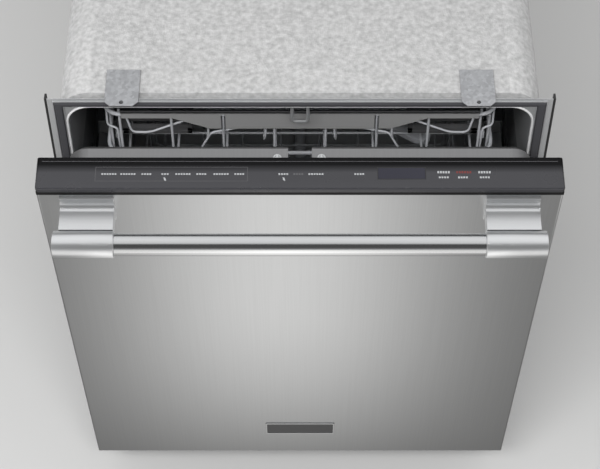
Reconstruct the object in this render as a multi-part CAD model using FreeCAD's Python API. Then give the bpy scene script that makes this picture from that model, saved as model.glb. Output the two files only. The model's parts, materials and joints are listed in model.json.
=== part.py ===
import FreeCAD, Part
import math
import os

# A built-in 24 inch dishwasher with a bottom-hinged door, hidden top controls and a bar handle.
# Millimetres. +X is to the right, the front faces -Y and +Z is up; the floor is z = 0.
# Every piece is built with the door shut and the racks home, with y = 0 on the tub's front face.
# At the end the door is swung ajar, the racks roll out a little with it, and the whole part is
# moved so that its origin lies on the floor under the middle of the part.

V = FreeCAD.Vector
ORIGIN = V(0, 0, 0)
X_AXIS = V(1, 0, 0)
Y_AXIS = V(0, 1, 0)
Z_AXIS = V(0, 0, 1)
WIRE_SIDES = 6
TUBE_SIDES = 12
ROUND_SIDES = 16
BOWL_SIDES = 18
HANDLE_SIDES = 28
RACK_SIDES = 4

# Fits and gaps
SEAT_GAP = 0.3
RUNNING_GAP = 0.05
RAIL_GAP = 0.3
OVERCUT = 1.0

# Door
DOOR_WIDTH = 603.0
PANEL_BOTTOM = 122.0
PANEL_HEIGHT = 720.0
PANEL_FRONT = 50.0
PANEL_RETURN = 22.0
PANEL_EDGE_ROUND = 2.5
SHEET = 1.2
AJAR_DEGREES = 6.2

# Console along the top of the door
CONSOLE_LIP = 8.0
CONSOLE_OVERHANG = 2.0
CONSOLE_REAR = 9.0
CONSOLE_SKIRT = 40.0
CONSOLE_ROUND = 3.0
CONSOLE_CORNER_ROUND = 4.0
WINDOW_WIDTH = 54.0
WINDOW_DEPTH = 15.0
WINDOW_GLASS = 1.2
WINDOW_CENTRE_X = 116.0
WINDOW_FROM_REAR = 22.0

# Liner on the tub side of the door
LINER_SETBACK = 4.0
LINER_DEPTH = 30.0
LINER_LIFT = 3.5
TRAY_SIDE_GAP = 5.0
TRAY_PROUD = 26.0
TRAY_BOTTOM = 150.0
TRAY_TOP_DROP = 14.0
TRAY_CORNER = 24.0
TRAY_EDGE_ROUND = 8.0
MAT_THICKNESS = 18.0
MAT_SIDE_GAP = 7.0
MAT_TOP_DROP = 77.0

# Door hinge, a pin through an ear on each side of the cabinet
HINGE_AHEAD = 14.0
HINGE_ABOVE_PANEL = 12.0
HINGE_PIN_RADIUS = 4.0
HINGE_EAR_RADIUS = 8.0
HINGE_EAR_THICKNESS = 3.0
HINGE_ARM_THICKNESS = 3.0
HINGE_ARM_LENGTH = 113.0
HINGE_SIDE_GAP = 2.0
CASSETTE_LENGTH = 190.0
CASSETTE_HEIGHT = 58.0
CASSETTE_FRONT = 30.0
CASSETTE_THICKNESS = 7.0

# Handle
HANDLE_STANDOFF = 53.0
HANDLE_BELOW_TOP = 30.0
HANDLE_BAR_RADIUS = 13.0
HANDLE_END_RADIUS = 18.5
HANDLE_SIDE_INSET = 20.0
HANDLE_END_LENGTH = 70.5
HANDLE_ARM_INNER_INSET = 2.5
HANDLE_ARM_OUTER_INSET = 5.5
HANDLE_ARM_DROP = 4.0
HANDLE_FOOT_THICKNESS = 3.5
HANDLE_FOOT_HEIGHT = 46.0
HANDLE_ARM_THICKNESS = 17.0
HANDLE_ARM_FLARE = 9.0
HANDLE_SEAM = 1.8
HANDLE_BORE_DEPTH = 12.0
HANDLE_BORE_GAP = 0.1
HANDLE_END_CHAMFER = 1.5

# Latch
HOOK_PIVOT_AHEAD = 22.0
HOOK_PIVOT_DROP = 36.0
HOOK_PIN_RADIUS = 3.0
HOOK_HALF_WIDTH = 5.0
HOOK_BOSS_RADIUS = 8.0
HOOK_SLOT_GAP = 1.2
HOOK_ARM_HEIGHT = 7.0
HOOK_ARM_GAP = 1.5
HOOK_NOSE_LENGTH = 5.5
HOOK_NOSE_GAP = 1.0
HOOK_RELIEF = 12.0
LATCH_HALF_WIDTH = 30.0
LATCH_DEPTH = 31.0
LATCH_HEIGHT = 68.0
NOTCH_HALF_WIDTH = 14.0
NOTCH_DEPTH = 54.0
STRIKE_WIRE_RADIUS = 2.5
STRIKE_HALF_WIDTH = 9.5
STRIKE_BEHIND = 12.0
STRIKE_DROP = 38.0
STRIKE_PLATE = 2.5
STRIKE_PLATE_HALF_WIDTH = 18.0
STRIKE_PLATE_DEPTH = 26.0

# Detergent dispenser in the liner
DISPENSER_Z = 470.0
DISPENSER_WIDTH = 170.0
DISPENSER_HEIGHT = 120.0
DISPENSER_FACE = 2.5
DISPENSER_BODY_INSET = 7.0
DISPENSER_BODY_DEPTH = 26.0
CUP_LEFT = -72.0
CUP_WIDTH = 68.0
CUP_HEIGHT = 68.0
CUP_DEPTH = 24.0
LID_THICKNESS = 4.0
LID_LAP = 4.0
LID_BARREL_RADIUS = 3.0
LID_PIN_RADIUS = 1.5
LID_LUG = 3.0
RINSE_CAP_X = 46.0
RINSE_CAP_RADIUS = 17.0
RINSE_CAP_HEIGHT = 4.0
RINSE_SPIGOT_RADIUS = 6.0

# Tub
FLANGE_SIDE_GAP = 3.0
FLANGE_BELOW_HINGE = 16.0
TUB_WALL = 1.2
SIDE_FLANGE = 22.5
CAVITY_DEPTH = 540.0
OPENING_DROP = 7.0
TUB_FLOOR = 134.0
SILL_HEIGHT = 12.0
LEDGE_WIDTH = 30.0
LEDGE_SETBACK = 4.0
TUB_CORNER = 27.0
CHANNEL_RIB = 1.2
CHANNEL_RIB_HEIGHT = 2.0
CHANNEL_INSET = 3.0
GASKET_WIDTH = 10.0
GASKET_TOP_WIDTH = 6.0
GASKET_CHAMFER = 1.0
EDGE_TRIM_DEPTH = 9.0
BLANKET_THICKNESS = 11.5
BLANKET_FRONT = 12.0
BLANKET_BOTTOM = 180.0
BRACKET_SIDE_INSET = 88.5
BRACKET_WIDTH = 40.0
BRACKET_REACH = 46.0
BRACKET_HOLE_RADIUS = 2.5
BRACKET_HOLE_AHEAD = 6.0
BRACKET_LEG = 12.0

# Base
BASE_SIDE_INSET = 13.5
BASE_FRONT = 30.0
BASE_REAR = 552.0
BASE_WALL = 3.0
BASE_WALL_TOP = 118.0
BASE_BOTTOM = 12.3
BASE_RIB = 6.0
BASE_WINDOW = 90.0
FOOT_SIDE_INSET = 30.0
FOOT_INSET = 34.0
FOOT_RADIUS = 18.0
FOOT_HEIGHT = 12.0
FOOT_STEM_RADIUS = 5.0
FOOT_GRIP = 19.0
FOOT_BOSS_RADIUS = 13.0
FOOT_BOSS_HEIGHT = 50.0
FOOT_TRAVEL = 25.0
FOOT_FLATS = 6
KICK_THICKNESS = 3.0
KICK_HEIGHT = 98.0
KICK_BOTTOM = 13.0
KICK_SIDE_INSET = 3.5
KICK_LOUVRE_COUNT = 9
KICK_LOUVRE_LENGTH = 40.0
KICK_LOUVRE_HEIGHT = 4.0

# Sump, filter, heater, float and the wash parts under the tub
WASH_CENTRE_Y = 270.0
SUMP_RADIUS = 112.0
SUMP_FLANGE = 9.0
SUMP_WALL = 3.0
SUMP_DEPTH = 52.0
SUMP_BOTTOM_RADIUS = 102.0
SUMP_RIM = 2.0
SUMP_SHOULDER = 12.0
HUB_RADIUS = 16.0
SPIGOT_RADIUS = 12.0
SPIGOT_HEIGHT = 16.0
FILTER_PLATE_THICKNESS = 1.5
FILTER_CUP_X = -58.0
FILTER_CUP_AHEAD = 50.0
FILTER_CUP_RADIUS = 30.0
FILTER_CUP_DEPTH = 42.0
FILTER_CUP_PROUD = 7.0
FILTER_CUP_WALL = 3.0
FILTER_CUP_COLLAR = 4.0
PORT_RADIUS = 16.0
PORT_Z_DROP = 32.0
PORT_REACH = 128.0
WASH_PUMP_RADIUS = 38.0
WASH_PUMP_END_GAP = 23.3
DRAIN_PUMP_RADIUS = 26.0
DRAIN_PUMP_LENGTH = 78.0
HEATER_RADIUS = 190.0
HEATER_TUBE_RADIUS = 4.0
HEATER_HEIGHT = 12.0
HEATER_GAP_DEGREES = 24.0
HEATER_RUN_COUNT = 12
FLOAT_SIDE_INSET = 56.0
FLOAT_Y = 62.0
FLOAT_RADIUS = 22.0
FLOAT_HEIGHT = 26.0
FLOAT_STEM_RADIUS = 5.0
FLOAT_GUIDE = 14.0
FLOAT_TRAVEL = 10.0
VALVE_SIDE_INSET = 89.0
VALVE_Y = 130.0
VALVE_SIZE = 44.0
VALVE_THREAD_RADIUS = 13.2
VALVE_THREAD_LENGTH = 16.0
JUNCTION_SIDE_INSET = 70.0
JUNCTION_Y = 96.0
JUNCTION_WIDTH = 70.0
JUNCTION_DEPTH = 56.0
JUNCTION_HEIGHT = 60.0
GLAND_RADIUS = 10.0
HOSE_HOLE_RADIUS = 21.0
CABLE_HOLE_RADIUS = 14.0

# Spray arms
ARM_THICKNESS = 12.0
ARM_ROOT = 27.0
ARM_TIP = 15.0
LOWER_ARM_SIDE_GAP = 14.0
UPPER_ARM_SIDE_GAP = 24.0
ARM_HUB_RADIUS = 21.0
ARM_CAP_THICKNESS = 3.0
NOZZLE_COUNT = 4
NOZZLE_RADIUS = 3.2
NOZZLE_HEIGHT = 2.0

# Racks
RACK_WIRE = 2.0
RIM_WIRE = 2.6
RACK_SIDE_ROOM = 40.0
RACK_BEND = 12.0
LOWER_RACK_FRONT = 44.0
LOWER_RACK_DEPTH = 460.0
LOWER_RACK_FLOOR_ABOVE_LEDGE = 30.0
LOWER_RACK_SIDE = 128.0
LOWER_RACK_FRONT_HEIGHT = 104.0
LOWER_ACROSS_COUNT = 7
LOWER_ALONG_COUNT = 8
TINE_HEIGHT = 72.0
TINE_PITCH = 36.0
TINE_COUNT = 10
TINE_PIVOT = 4.0
TINE_PIVOT_RADIUS = 1.6
FOLD_FOOT_LENGTH = 20.0
TINE_ROW_Y = (250.0, 410.0)
FOLD_ROW_Y = 330.0
WHEEL_RADIUS = 17.0
WHEEL_WIDTH = 9.0
WHEEL_INSET = 112.0
AXLE_RADIUS = 3.0
WHEEL_GAP = 1.5
HANGER_HALF_WIDTH = 9.0
LOWER_RATIO = 70.0
BASKET_WIDTH = 236.0
BASKET_DEPTH = 66.0
BASKET_HEIGHT = 112.0
BASKET_WALL = 2.0
BASKET_CELL_COUNT = 6
BASKET_BEHIND_FRONT = 14.0
BASKET_SLOT_COUNT = 6

UPPER_RACK_FRONT = 71.0
UPPER_RACK_DEPTH = 435.0
UPPER_RIM_DROP = 52.0
UPPER_RACK_HEIGHT = 140.0
UPPER_ACROSS_COUNT = 7
UPPER_ALONG_COUNT = 8
UPPER_TINE_HEIGHT = 42.0
UPPER_TINE_ROWS = (190.0, 330.0)
UPPER_RATIO = 260.0
TRIM_SIDE_INSET = 17.0
TRIM_CENTRE_HALF = 111.0
TRIM_SLOPE_END = 156.0
TRIM_HEIGHT = 32.0
TRIM_SIDE_HEIGHT = 13.0
TRIM_THICKNESS = 2.0
TRIM_RISE = 7.0
TRIM_BEAD_RADIUS = 2.6
TRIM_SLOT_X = 94.0
TRIM_SLOT_WIDTH = 5.0
TRIM_SLOT_TOP_DROP = 6.0
SHELF_WIDTH = 92.0
SHELF_LENGTH = 190.0
SHELF_THICKNESS = 5.0
SHELF_Z_DROP = 88.0
SHELF_FRONT = 34.0
SHELF_SLAT_COUNT = 7
SHELF_PIN_RADIUS = 2.0
SHELF_BARREL_RADIUS = 4.5
SHELF_BLOCK = 6.0

# Telescopic rails of the upper rack
RAIL_HEIGHT = 30.0
RAIL_DEPTH = 12.0
RAIL_SHEET = 1.5
RAIL_FRONT = 40.0
RAIL_LENGTH = 470.0
MIDDLE_LENGTH = 450.0
INNER_LENGTH = 430.0
RAIL_ABOVE_FLOOR = 34.0

# Upper feed and riser
FEED_RADIUS = 10.0
FEED_PORT_RADIUS = 13.0
RISER_RADIUS = 10.0
RISER_BEHIND = 14.0
CONDUIT_HEIGHT = 13.8

# Places worked out from the sizes above
HALF_DOOR = DOOR_WIDTH / 2
PANEL_TOP = PANEL_BOTTOM + PANEL_HEIGHT
CONSOLE_TOP = PANEL_TOP + CONSOLE_LIP
OPENING_TOP = PANEL_TOP - OPENING_DROP
HALF_FLANGE = HALF_DOOR - FLANGE_SIDE_GAP
HALF_CAVITY = HALF_FLANGE - SIDE_FLANGE
HALF_BASE = HALF_FLANGE - BASE_SIDE_INSET
HINGE = V(0, -HINGE_AHEAD, PANEL_BOTTOM + HINGE_ABOVE_PANEL)
FLANGE_BOTTOM = HINGE.z - FLANGE_BELOW_HINGE
SILL_TOP = TUB_FLOOR + SILL_HEIGHT
LEDGE_TOP = HINGE.z + TRAY_PROUD + HINGE_AHEAD
LEDGE_FRONT = TRAY_PROUD + LEDGE_SETBACK + TUB_WALL
HALF_LEDGE = HALF_CAVITY - LEDGE_WIDTH
LINER_BOTTOM = PANEL_BOTTOM + LINER_LIFT
HALF_LINER = HALF_DOOR - SHEET - SEAT_GAP
TRAY_TOP = PANEL_TOP - TRAY_TOP_DROP
EAR_OUTER = HALF_BASE + CASSETTE_THICKNESS
EAR_INNER = EAR_OUTER - HINGE_EAR_THICKNESS
HINGE_ARM_OUTER = EAR_INNER - HINGE_SIDE_GAP
HINGE_ARM_INNER = HINGE_ARM_OUTER - HINGE_ARM_THICKNESS
HANDLE_AXIS_Y = -PANEL_FRONT - HANDLE_STANDOFF
HANDLE_AXIS_Z = PANEL_TOP - HANDLE_BELOW_TOP
HANDLE_END_OUTER = HALF_DOOR - HANDLE_SIDE_INSET
HANDLE_END_INNER = HANDLE_END_OUTER - HANDLE_END_LENGTH
HANDLE_ARM_INNER = HANDLE_END_INNER + HANDLE_ARM_INNER_INSET
HANDLE_ARM_OUTER = HANDLE_END_OUTER - HANDLE_ARM_OUTER_INSET
BRACKET_X = HALF_FLANGE - BRACKET_SIDE_INSET
FOOT_X = HALF_BASE - FOOT_SIDE_INSET
FLOAT_X = FLOAT_SIDE_INSET - HALF_LEDGE
VALVE_X = VALVE_SIDE_INSET - HALF_BASE
JUNCTION_X = HALF_BASE - JUNCTION_SIDE_INSET
RACK_HALF_WIDTH = HALF_CAVITY - RACK_SIDE_ROOM
TRIM_HALF_WIDTH = RACK_HALF_WIDTH - TRIM_SIDE_INSET
LOWER_ARM_RADIUS = HALF_LEDGE - LOWER_ARM_SIDE_GAP
UPPER_ARM_RADIUS = RACK_HALF_WIDTH - UPPER_ARM_SIDE_GAP
HOOK_PIVOT = V(0, -HOOK_PIVOT_AHEAD, PANEL_TOP - HOOK_PIVOT_DROP)
STRIKE_BAR_Z = OPENING_TOP - STRIKE_DROP
LOWER_FLOOR = LEDGE_TOP + LOWER_RACK_FLOOR_ABOVE_LEDGE
LOWER_RACK_REAR = LOWER_RACK_FRONT + LOWER_RACK_DEPTH
WHEEL_Z = LEDGE_TOP + SEAT_GAP + WHEEL_RADIUS
UPPER_RIM = OPENING_TOP - UPPER_RIM_DROP
UPPER_FLOOR = UPPER_RIM - UPPER_RACK_HEIGHT
UPPER_RACK_REAR = UPPER_RACK_FRONT + UPPER_RACK_DEPTH
RAIL_Z = UPPER_FLOOR + RAIL_ABOVE_FLOOR
FEED_Z = UPPER_FLOOR - RACK_WIRE - FEED_RADIUS
SPRAY_HUB_Z = LEDGE_TOP - 2.0
RISER_Y = CAVITY_DEPTH - RISER_BEHIND
SHELF_Z = UPPER_RIM + TRIM_RISE - SHELF_Z_DROP
SHELF_HINGE_X = RACK_HALF_WIDTH - RACK_WIRE - SHELF_BARREL_RADIUS - SEAT_GAP
AJAR = math.radians(AJAR_DEGREES)


def origin_shift():
    """Y of the middle of the part's box with the door ajar: the handle in front, the base behind."""
    arm_y = HANDLE_AXIS_Y - HINGE.y
    arm_z = HANDLE_AXIS_Z - HINGE.z
    handle_y = HINGE.y + arm_y * math.cos(AJAR) - arm_z * math.sin(AJAR)
    return (handle_y - HANDLE_END_RADIUS + blanket_rear()) / 2


def blanket_rear():
    return CAVITY_DEPTH + TUB_WALL + SEAT_GAP + BLANKET_THICKNESS


# Shapes

def box(x_low, x_high, y_low, y_high, z_low, z_high):
    return Part.makeBox(x_high - x_low, y_high - y_low, z_high - z_low, V(x_low, y_low, z_low))


def cylinder(radius, length, start, axis):
    return Part.makeCylinder(radius, length, start, axis)


def polygon_face(points):
    return Part.Face(Part.makePolygon(points + [points[0]]))


def plate_xz(points, y_low, y_high):
    face = polygon_face([V(x, y_low, z) for x, z in points])
    return face.extrude(V(0, y_high - y_low, 0))


def plate_yz(points, x_low, x_high):
    face = polygon_face([V(x_low, y, z) for y, z in points])
    return face.extrude(V(x_high - x_low, 0, 0))


def plate_xy(points, z_low, z_high):
    face = polygon_face([V(x, y, z_low) for x, y in points])
    return face.extrude(V(0, 0, z_high - z_low))


def turned(profile, centre, sides=BOWL_SIDES):
    """A closed outline of (radius, z) points turned about the vertical line through centre, in flats."""
    def corner(radius, z, k):
        turn = 2 * math.pi * k / sides
        return V(centre.x + radius * math.cos(turn), centre.y + radius * math.sin(turn), z)
    faces = []
    for i, (radius, z) in enumerate(profile):
        next_radius, next_z = profile[(i + 1) % len(profile)]
        if radius == 0 and next_radius == 0:
            continue
        for k in range(sides):
            points = [corner(radius, z, k)]
            if radius > 0:
                points.append(corner(radius, z, k + 1))
            points.append(corner(next_radius, next_z, k + 1))
            if next_radius > 0:
                points.append(corner(next_radius, next_z, k))
            faces.append(polygon_face(points))
    return closed_solid(faces)


def closed_solid(faces):
    solid = Part.Solid(Part.Shell(faces))
    if solid.Volume < 0:
        solid.reverse()
    return solid


def round_bar(radius, length, start, axis, sides=ROUND_SIDES):
    """A bar in flats, inside the given radius."""
    return round_hole(radius * math.cos(math.pi / sides), length, start, axis, sides)


def round_hole(radius, length, start, axis, sides=ROUND_SIDES):
    """A bar in flats, outside the given radius."""
    return bent_wire([tuple(start), tuple(start + axis * length)], radius, sides)


def fused(solids):
    return solids[0].multiFuse(solids[1:]).removeSplitter()


def mirrored(shape):
    return shape.mirror(ORIGIN, X_AXIS)


def rounded(solid, radius, wanted):
    """The solid with the edges for which wanted(middle, direction) is true rounded."""
    edges = []
    for edge in solid.Edges:
        start, end = edge.firstVertex().Point, edge.lastVertex().Point
        middle = edge.valueAt((edge.FirstParameter + edge.LastParameter) / 2)
        direction = end - start
        if direction.Length > 0 and wanted(middle, direction.normalize()):
            edges.append(edge)
    return solid.makeFillet(radius, edges)


def along(direction, axis):
    return abs(direction.dot(axis)) > 0.99


def near(value, target):
    return abs(value - target) < 0.01


def wire_rings(points, radius, sides, closed):
    """The outline of a bent wire at each of its corners, lying in the mitre plane there."""
    corners = [V(*point) for point in points]
    if closed:
        corners.append(corners[0])
    runs = [(end - start).normalize() for start, end in zip(corners, corners[1:])]
    planes = [runs[0]] + [run + following for run, following in zip(runs, runs[1:])] + [runs[-1]]
    if closed:
        planes[0] = runs[-1] + runs[0]
        planes[-1] = planes[0]
    normal = plane_normal(runs)
    across = runs[0].cross(normal).normalize()
    reach = radius / math.cos(math.pi / sides)
    half_step = 0.5 if sides % 4 == 0 else 0
    ring = []
    for i in range(sides):
        turn = 2 * math.pi * (i + half_step) / sides
        ring.append(corners[0] + normal * (reach * math.cos(turn)) + across * (reach * math.sin(turn)))
    rings = [slid(ring, runs[0], corners[0], planes[0])]
    for run, corner, plane in zip(runs, corners[1:], planes[1:]):
        rings.append(slid(rings[-1], run, corner, plane))
    return rings


def side_faces(ring, next_ring):
    after = ring[1:] + ring[:1]
    next_after = next_ring[1:] + next_ring[:1]
    return [polygon_face([a, b, c, d]) for a, b, c, d in zip(ring, after, next_after, next_ring)]


def bent_wire(points, radius, sides=WIRE_SIDES):
    """One solid wire of even flats along a bent line, mitred at each bend."""
    rings = wire_rings(points, radius, sides, False)
    faces = []
    for ring, next_ring in zip(rings, rings[1:]):
        faces += side_faces(ring, next_ring)
    return closed_solid(faces + [polygon_face(rings[0]), polygon_face(rings[-1])])


def wire_runs(points, radius, closed=False):
    """A rack wire as one solid for each straight run, which meet in the mitre planes."""
    rings = wire_rings(points, radius, RACK_SIDES, closed)
    runs = []
    for ring, next_ring in zip(rings, rings[1:]):
        ends = [polygon_face(ring), polygon_face(next_ring)]
        runs.append(closed_solid(side_faces(ring, next_ring) + ends))
    return runs


def plane_normal(runs):
    for run in runs[1:]:
        normal = runs[0].cross(run)
        if normal.Length > 0.01:
            return normal.normalize()
    helper = Z_AXIS if abs(runs[0].z) < 0.9 else X_AXIS
    across = runs[0].cross(helper)
    return across.cross(runs[0]).normalize()


def slid(ring, run, point, plane):
    """Ring points slid along a run until they lie in the plane through point."""
    return [corner + run * ((point - corner).dot(plane) / run.dot(plane)) for corner in ring]


def rod(start, end, radius, sides=WIRE_SIDES):
    return bent_wire([start, end], radius, sides)


def hoop(start, rise, bend, span, other_rise, axis):
    """Corner points of a wire that comes down, runs along axis and goes up again."""
    across = X_AXIS if axis == X_AXIS else Y_AXIS
    up = Z_AXIS
    base = V(*start)
    return [tuple(p) for p in (
        base + up * rise,
        base + up * bend,
        base + across * bend,
        base + across * (span - bend),
        base + across * span + up * bend,
        base + across * span + up * other_rise)]


# Door

def door_panel():
    front = -PANEL_FRONT
    rear = front + PANEL_RETURN
    pan = box(-HALF_DOOR, HALF_DOOR, front, rear, PANEL_BOTTOM, PANEL_TOP)
    pan = rounded(pan, PANEL_EDGE_ROUND, lambda middle, direction: near(middle.y, front)
                  and (along(direction, Z_AXIS) or near(middle.z, PANEL_BOTTOM)))
    inside = box(-HALF_DOOR + SHEET, HALF_DOOR - SHEET, front + SHEET, rear + OVERCUT,
                 PANEL_BOTTOM + SHEET, PANEL_TOP + OVERCUT)
    return pan.cut(inside)


def rounded_tray(inset, rear):
    half = HALF_CAVITY - TRAY_SIDE_GAP - inset
    top = TRAY_TOP - inset
    bottom = TRAY_BOTTOM + inset
    face_y = TRAY_PROUD - inset
    tray = box(-half, half, rear, face_y, bottom, top)
    tray = rounded(tray, TRAY_CORNER - inset, lambda middle, direction: along(direction, Y_AXIS))
    return tray.makeChamfer(TRAY_EDGE_ROUND - inset,
                            [edge for edge in tray.Edges if near(edge.BoundBox.YMin, face_y)])


def latch_notch(grow, rear):
    half = NOTCH_HALF_WIDTH + grow
    return box(-half, half, rear, TRAY_PROUD + OVERCUT,
               TRAY_TOP - NOTCH_DEPTH - grow, TRAY_TOP + OVERCUT)


def door_liner():
    rear = -LINER_SETBACK
    sheet_front = rear - SHEET
    pan = box(-HALF_LINER, HALF_LINER, rear - LINER_DEPTH, rear, LINER_BOTTOM, PANEL_TOP)
    hollow = box(-HALF_LINER + SHEET, HALF_LINER - SHEET, rear - LINER_DEPTH - OVERCUT, sheet_front,
                 LINER_BOTTOM + SHEET, PANEL_TOP + OVERCUT)
    tray = rounded_tray(0, sheet_front).cut(latch_notch(0, rear))
    tray_inside = rounded_tray(SHEET, sheet_front - OVERCUT)
    tray_inside = tray_inside.cut(latch_notch(SHEET, sheet_front - 2 * OVERCUT))
    liner = fused([pan.cut(hollow), tray]).cut(tray_inside)
    body_half = DISPENSER_WIDTH / 2 - DISPENSER_BODY_INSET + SEAT_GAP
    body_rise = DISPENSER_HEIGHT / 2 - DISPENSER_BODY_INSET + SEAT_GAP
    dispenser_hole = box(-body_half, body_half, TRAY_PROUD - 2 * SHEET, TRAY_PROUD + OVERCUT,
                         DISPENSER_Z - body_rise, DISPENSER_Z + body_rise)
    hook_window = box(-HOOK_HALF_WIDTH - HOOK_SLOT_GAP, HOOK_HALF_WIDTH + HOOK_SLOT_GAP,
                      sheet_front - OVERCUT, rear + OVERCUT,
                      TRAY_TOP - NOTCH_DEPTH, HOOK_PIVOT.z + HOOK_BOSS_RADIUS)
    liner = liner.cut(dispenser_hole).cut(hook_window)
    ear_slot = box(EAR_INNER - HINGE_SIDE_GAP / 2, EAR_OUTER + HINGE_SIDE_GAP / 2,
                   HINGE.y - HINGE_EAR_RADIUS - OVERCUT, rear + OVERCUT,
                   LINER_BOTTOM - OVERCUT, HINGE.z + HINGE_EAR_RADIUS + OVERCUT)
    return liner.cut(ear_slot).cut(mirrored(ear_slot))


def door_mat():
    half = HALF_DOOR - MAT_SIDE_GAP
    front = -PANEL_FRONT + SHEET
    return box(-half, half, front, front + MAT_THICKNESS,
               LINER_BOTTOM + SHEET + MAT_SIDE_GAP, PANEL_TOP - MAT_TOP_DROP)


def hinge_arm():
    rear = -LINER_SETBACK - SHEET
    bottom = LINER_BOTTOM + SHEET + SEAT_GAP
    front = rear - 2 * (HINGE_AHEAD + rear) - HINGE_EAR_THICKNESS
    plate = box(HINGE_ARM_INNER, HINGE_ARM_OUTER, front, rear, bottom, bottom + HINGE_ARM_LENGTH)
    top = bottom + HINGE_ARM_LENGTH
    foot = box(HINGE_ARM_INNER - 3 * HINGE_ARM_THICKNESS, HINGE_ARM_INNER,
               rear - HINGE_ARM_THICKNESS, rear, HINGE.z + 2 * HINGE_EAR_RADIUS, top)
    bore = cylinder(HINGE_PIN_RADIUS + RUNNING_GAP, 2 * HINGE_ARM_THICKNESS,
                    V(HINGE_ARM_INNER - OVERCUT, HINGE.y, HINGE.z), X_AXIS)
    return fused([plate, foot]).cut(bore)


def console():
    front = -PANEL_FRONT - CONSOLE_OVERHANG
    rear = -CONSOLE_REAR
    cap = box(-HALF_DOOR, HALF_DOOR, front, rear, PANEL_TOP, CONSOLE_TOP)
    cap = rounded(cap, CONSOLE_CORNER_ROUND, lambda middle, direction: near(middle.y, front)
                  and along(direction, Z_AXIS))
    cap = rounded(cap, CONSOLE_ROUND, lambda middle, direction: near(middle.z, CONSOLE_TOP)
                  and middle.y < rear - OVERCUT and not near(abs(middle.x), HALF_DOOR))
    skirt_half = HALF_LINER - SHEET - SEAT_GAP
    skirt = box(-skirt_half, skirt_half, -PANEL_FRONT + SHEET + SEAT_GAP,
                -LINER_SETBACK - SHEET - SEAT_GAP, PANEL_TOP - CONSOLE_SKIRT, PANEL_TOP)
    latch_room = latch_block(SEAT_GAP)
    return fused([cap, skirt]).cut(latch_room).cut(window_block(WINDOW_GLASS))


def window_block(depth):
    middle_y = -CONSOLE_REAR - WINDOW_FROM_REAR
    return box(WINDOW_CENTRE_X - WINDOW_WIDTH / 2, WINDOW_CENTRE_X + WINDOW_WIDTH / 2,
               middle_y - WINDOW_DEPTH / 2, middle_y + WINDOW_DEPTH / 2,
               CONSOLE_TOP - depth, CONSOLE_TOP)


def display_window():
    return window_block(WINDOW_GLASS)


def latch_block(grow):
    half = LATCH_HALF_WIDTH + grow
    rear = -LINER_SETBACK - SHEET
    top = PANEL_TOP - CONSOLE_LIP / 2
    return box(-half, half, rear - LATCH_DEPTH - grow, rear, top - LATCH_HEIGHT - grow, top + grow)


def latch_housing():
    slot_half = HOOK_HALF_WIDTH + HOOK_SLOT_GAP
    rear = -LINER_SETBACK - SHEET
    slot = box(-slot_half, slot_half, HOOK_PIVOT.y - HOOK_BOSS_RADIUS - OVERCUT, rear + OVERCUT,
               TRAY_TOP - NOTCH_DEPTH, HOOK_PIVOT.z + HOOK_BOSS_RADIUS + OVERCUT)
    pin = cylinder(HOOK_PIN_RADIUS, 2 * slot_half + 2 * OVERCUT,
                   V(-slot_half - OVERCUT, HOOK_PIVOT.y, HOOK_PIVOT.z), X_AXIS)
    return fused([latch_block(0).cut(slot), pin])


def latch_hook():
    bar_front = STRIKE_BEHIND - STRIKE_WIRE_RADIUS
    bar_rear = STRIKE_BEHIND + STRIKE_WIRE_RADIUS
    arm_top = STRIKE_BAR_Z - STRIKE_WIRE_RADIUS - HOOK_ARM_GAP
    arm_bottom = arm_top - HOOK_ARM_HEIGHT
    nose_front = bar_rear + HOOK_NOSE_GAP
    nose_rear = bar_rear + HOOK_NOSE_LENGTH
    outline = [
        (HOOK_PIVOT.y - HOOK_BOSS_RADIUS, HOOK_PIVOT.z - 2.0),
        (HOOK_PIVOT.y - 2.0, arm_bottom + 1.0),
        (HOOK_PIVOT.y + 4.0, arm_bottom),
        (nose_rear, arm_bottom),
        (nose_rear, STRIKE_BAR_Z - HOOK_NOSE_GAP),
        (nose_rear - STRIKE_WIRE_RADIUS, STRIKE_BAR_Z + STRIKE_WIRE_RADIUS),
        (nose_front, STRIKE_BAR_Z + HOOK_NOSE_GAP),
        (nose_front, arm_top),
        (bar_front - HOOK_RELIEF, arm_top),
        (HOOK_PIVOT.y + HOOK_BOSS_RADIUS, HOOK_PIVOT.z - 3.0)]
    arm = plate_yz(outline, -HOOK_HALF_WIDTH, HOOK_HALF_WIDTH)
    start = V(-HOOK_HALF_WIDTH, HOOK_PIVOT.y, HOOK_PIVOT.z)
    boss = round_bar(HOOK_BOSS_RADIUS, 2 * HOOK_HALF_WIDTH, start, X_AXIS)
    bore = cylinder(HOOK_PIN_RADIUS + RUNNING_GAP, 2 * HOOK_HALF_WIDTH, start, X_AXIS)
    return fused([arm, boss]).cut(bore)


def latch_strike():
    top = OPENING_TOP
    plate = box(-STRIKE_PLATE_HALF_WIDTH, STRIKE_PLATE_HALF_WIDTH, TUB_WALL + OVERCUT,
                TUB_WALL + OVERCUT + STRIKE_PLATE_DEPTH, top - STRIKE_PLATE, top)
    wire_top = top - STRIKE_PLATE / 2
    wire = bent_wire([(-STRIKE_HALF_WIDTH, STRIKE_BEHIND, wire_top),
                      (-STRIKE_HALF_WIDTH, STRIKE_BEHIND, STRIKE_BAR_Z + 3.0),
                      (-STRIKE_HALF_WIDTH + 3.0, STRIKE_BEHIND, STRIKE_BAR_Z),
                      (STRIKE_HALF_WIDTH - 3.0, STRIKE_BEHIND, STRIKE_BAR_Z),
                      (STRIKE_HALF_WIDTH, STRIKE_BEHIND, STRIKE_BAR_Z + 3.0),
                      (STRIKE_HALF_WIDTH, STRIKE_BEHIND, wire_top)],
                     STRIKE_WIRE_RADIUS, TUBE_SIDES)
    return fused([plate, wire])


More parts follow.
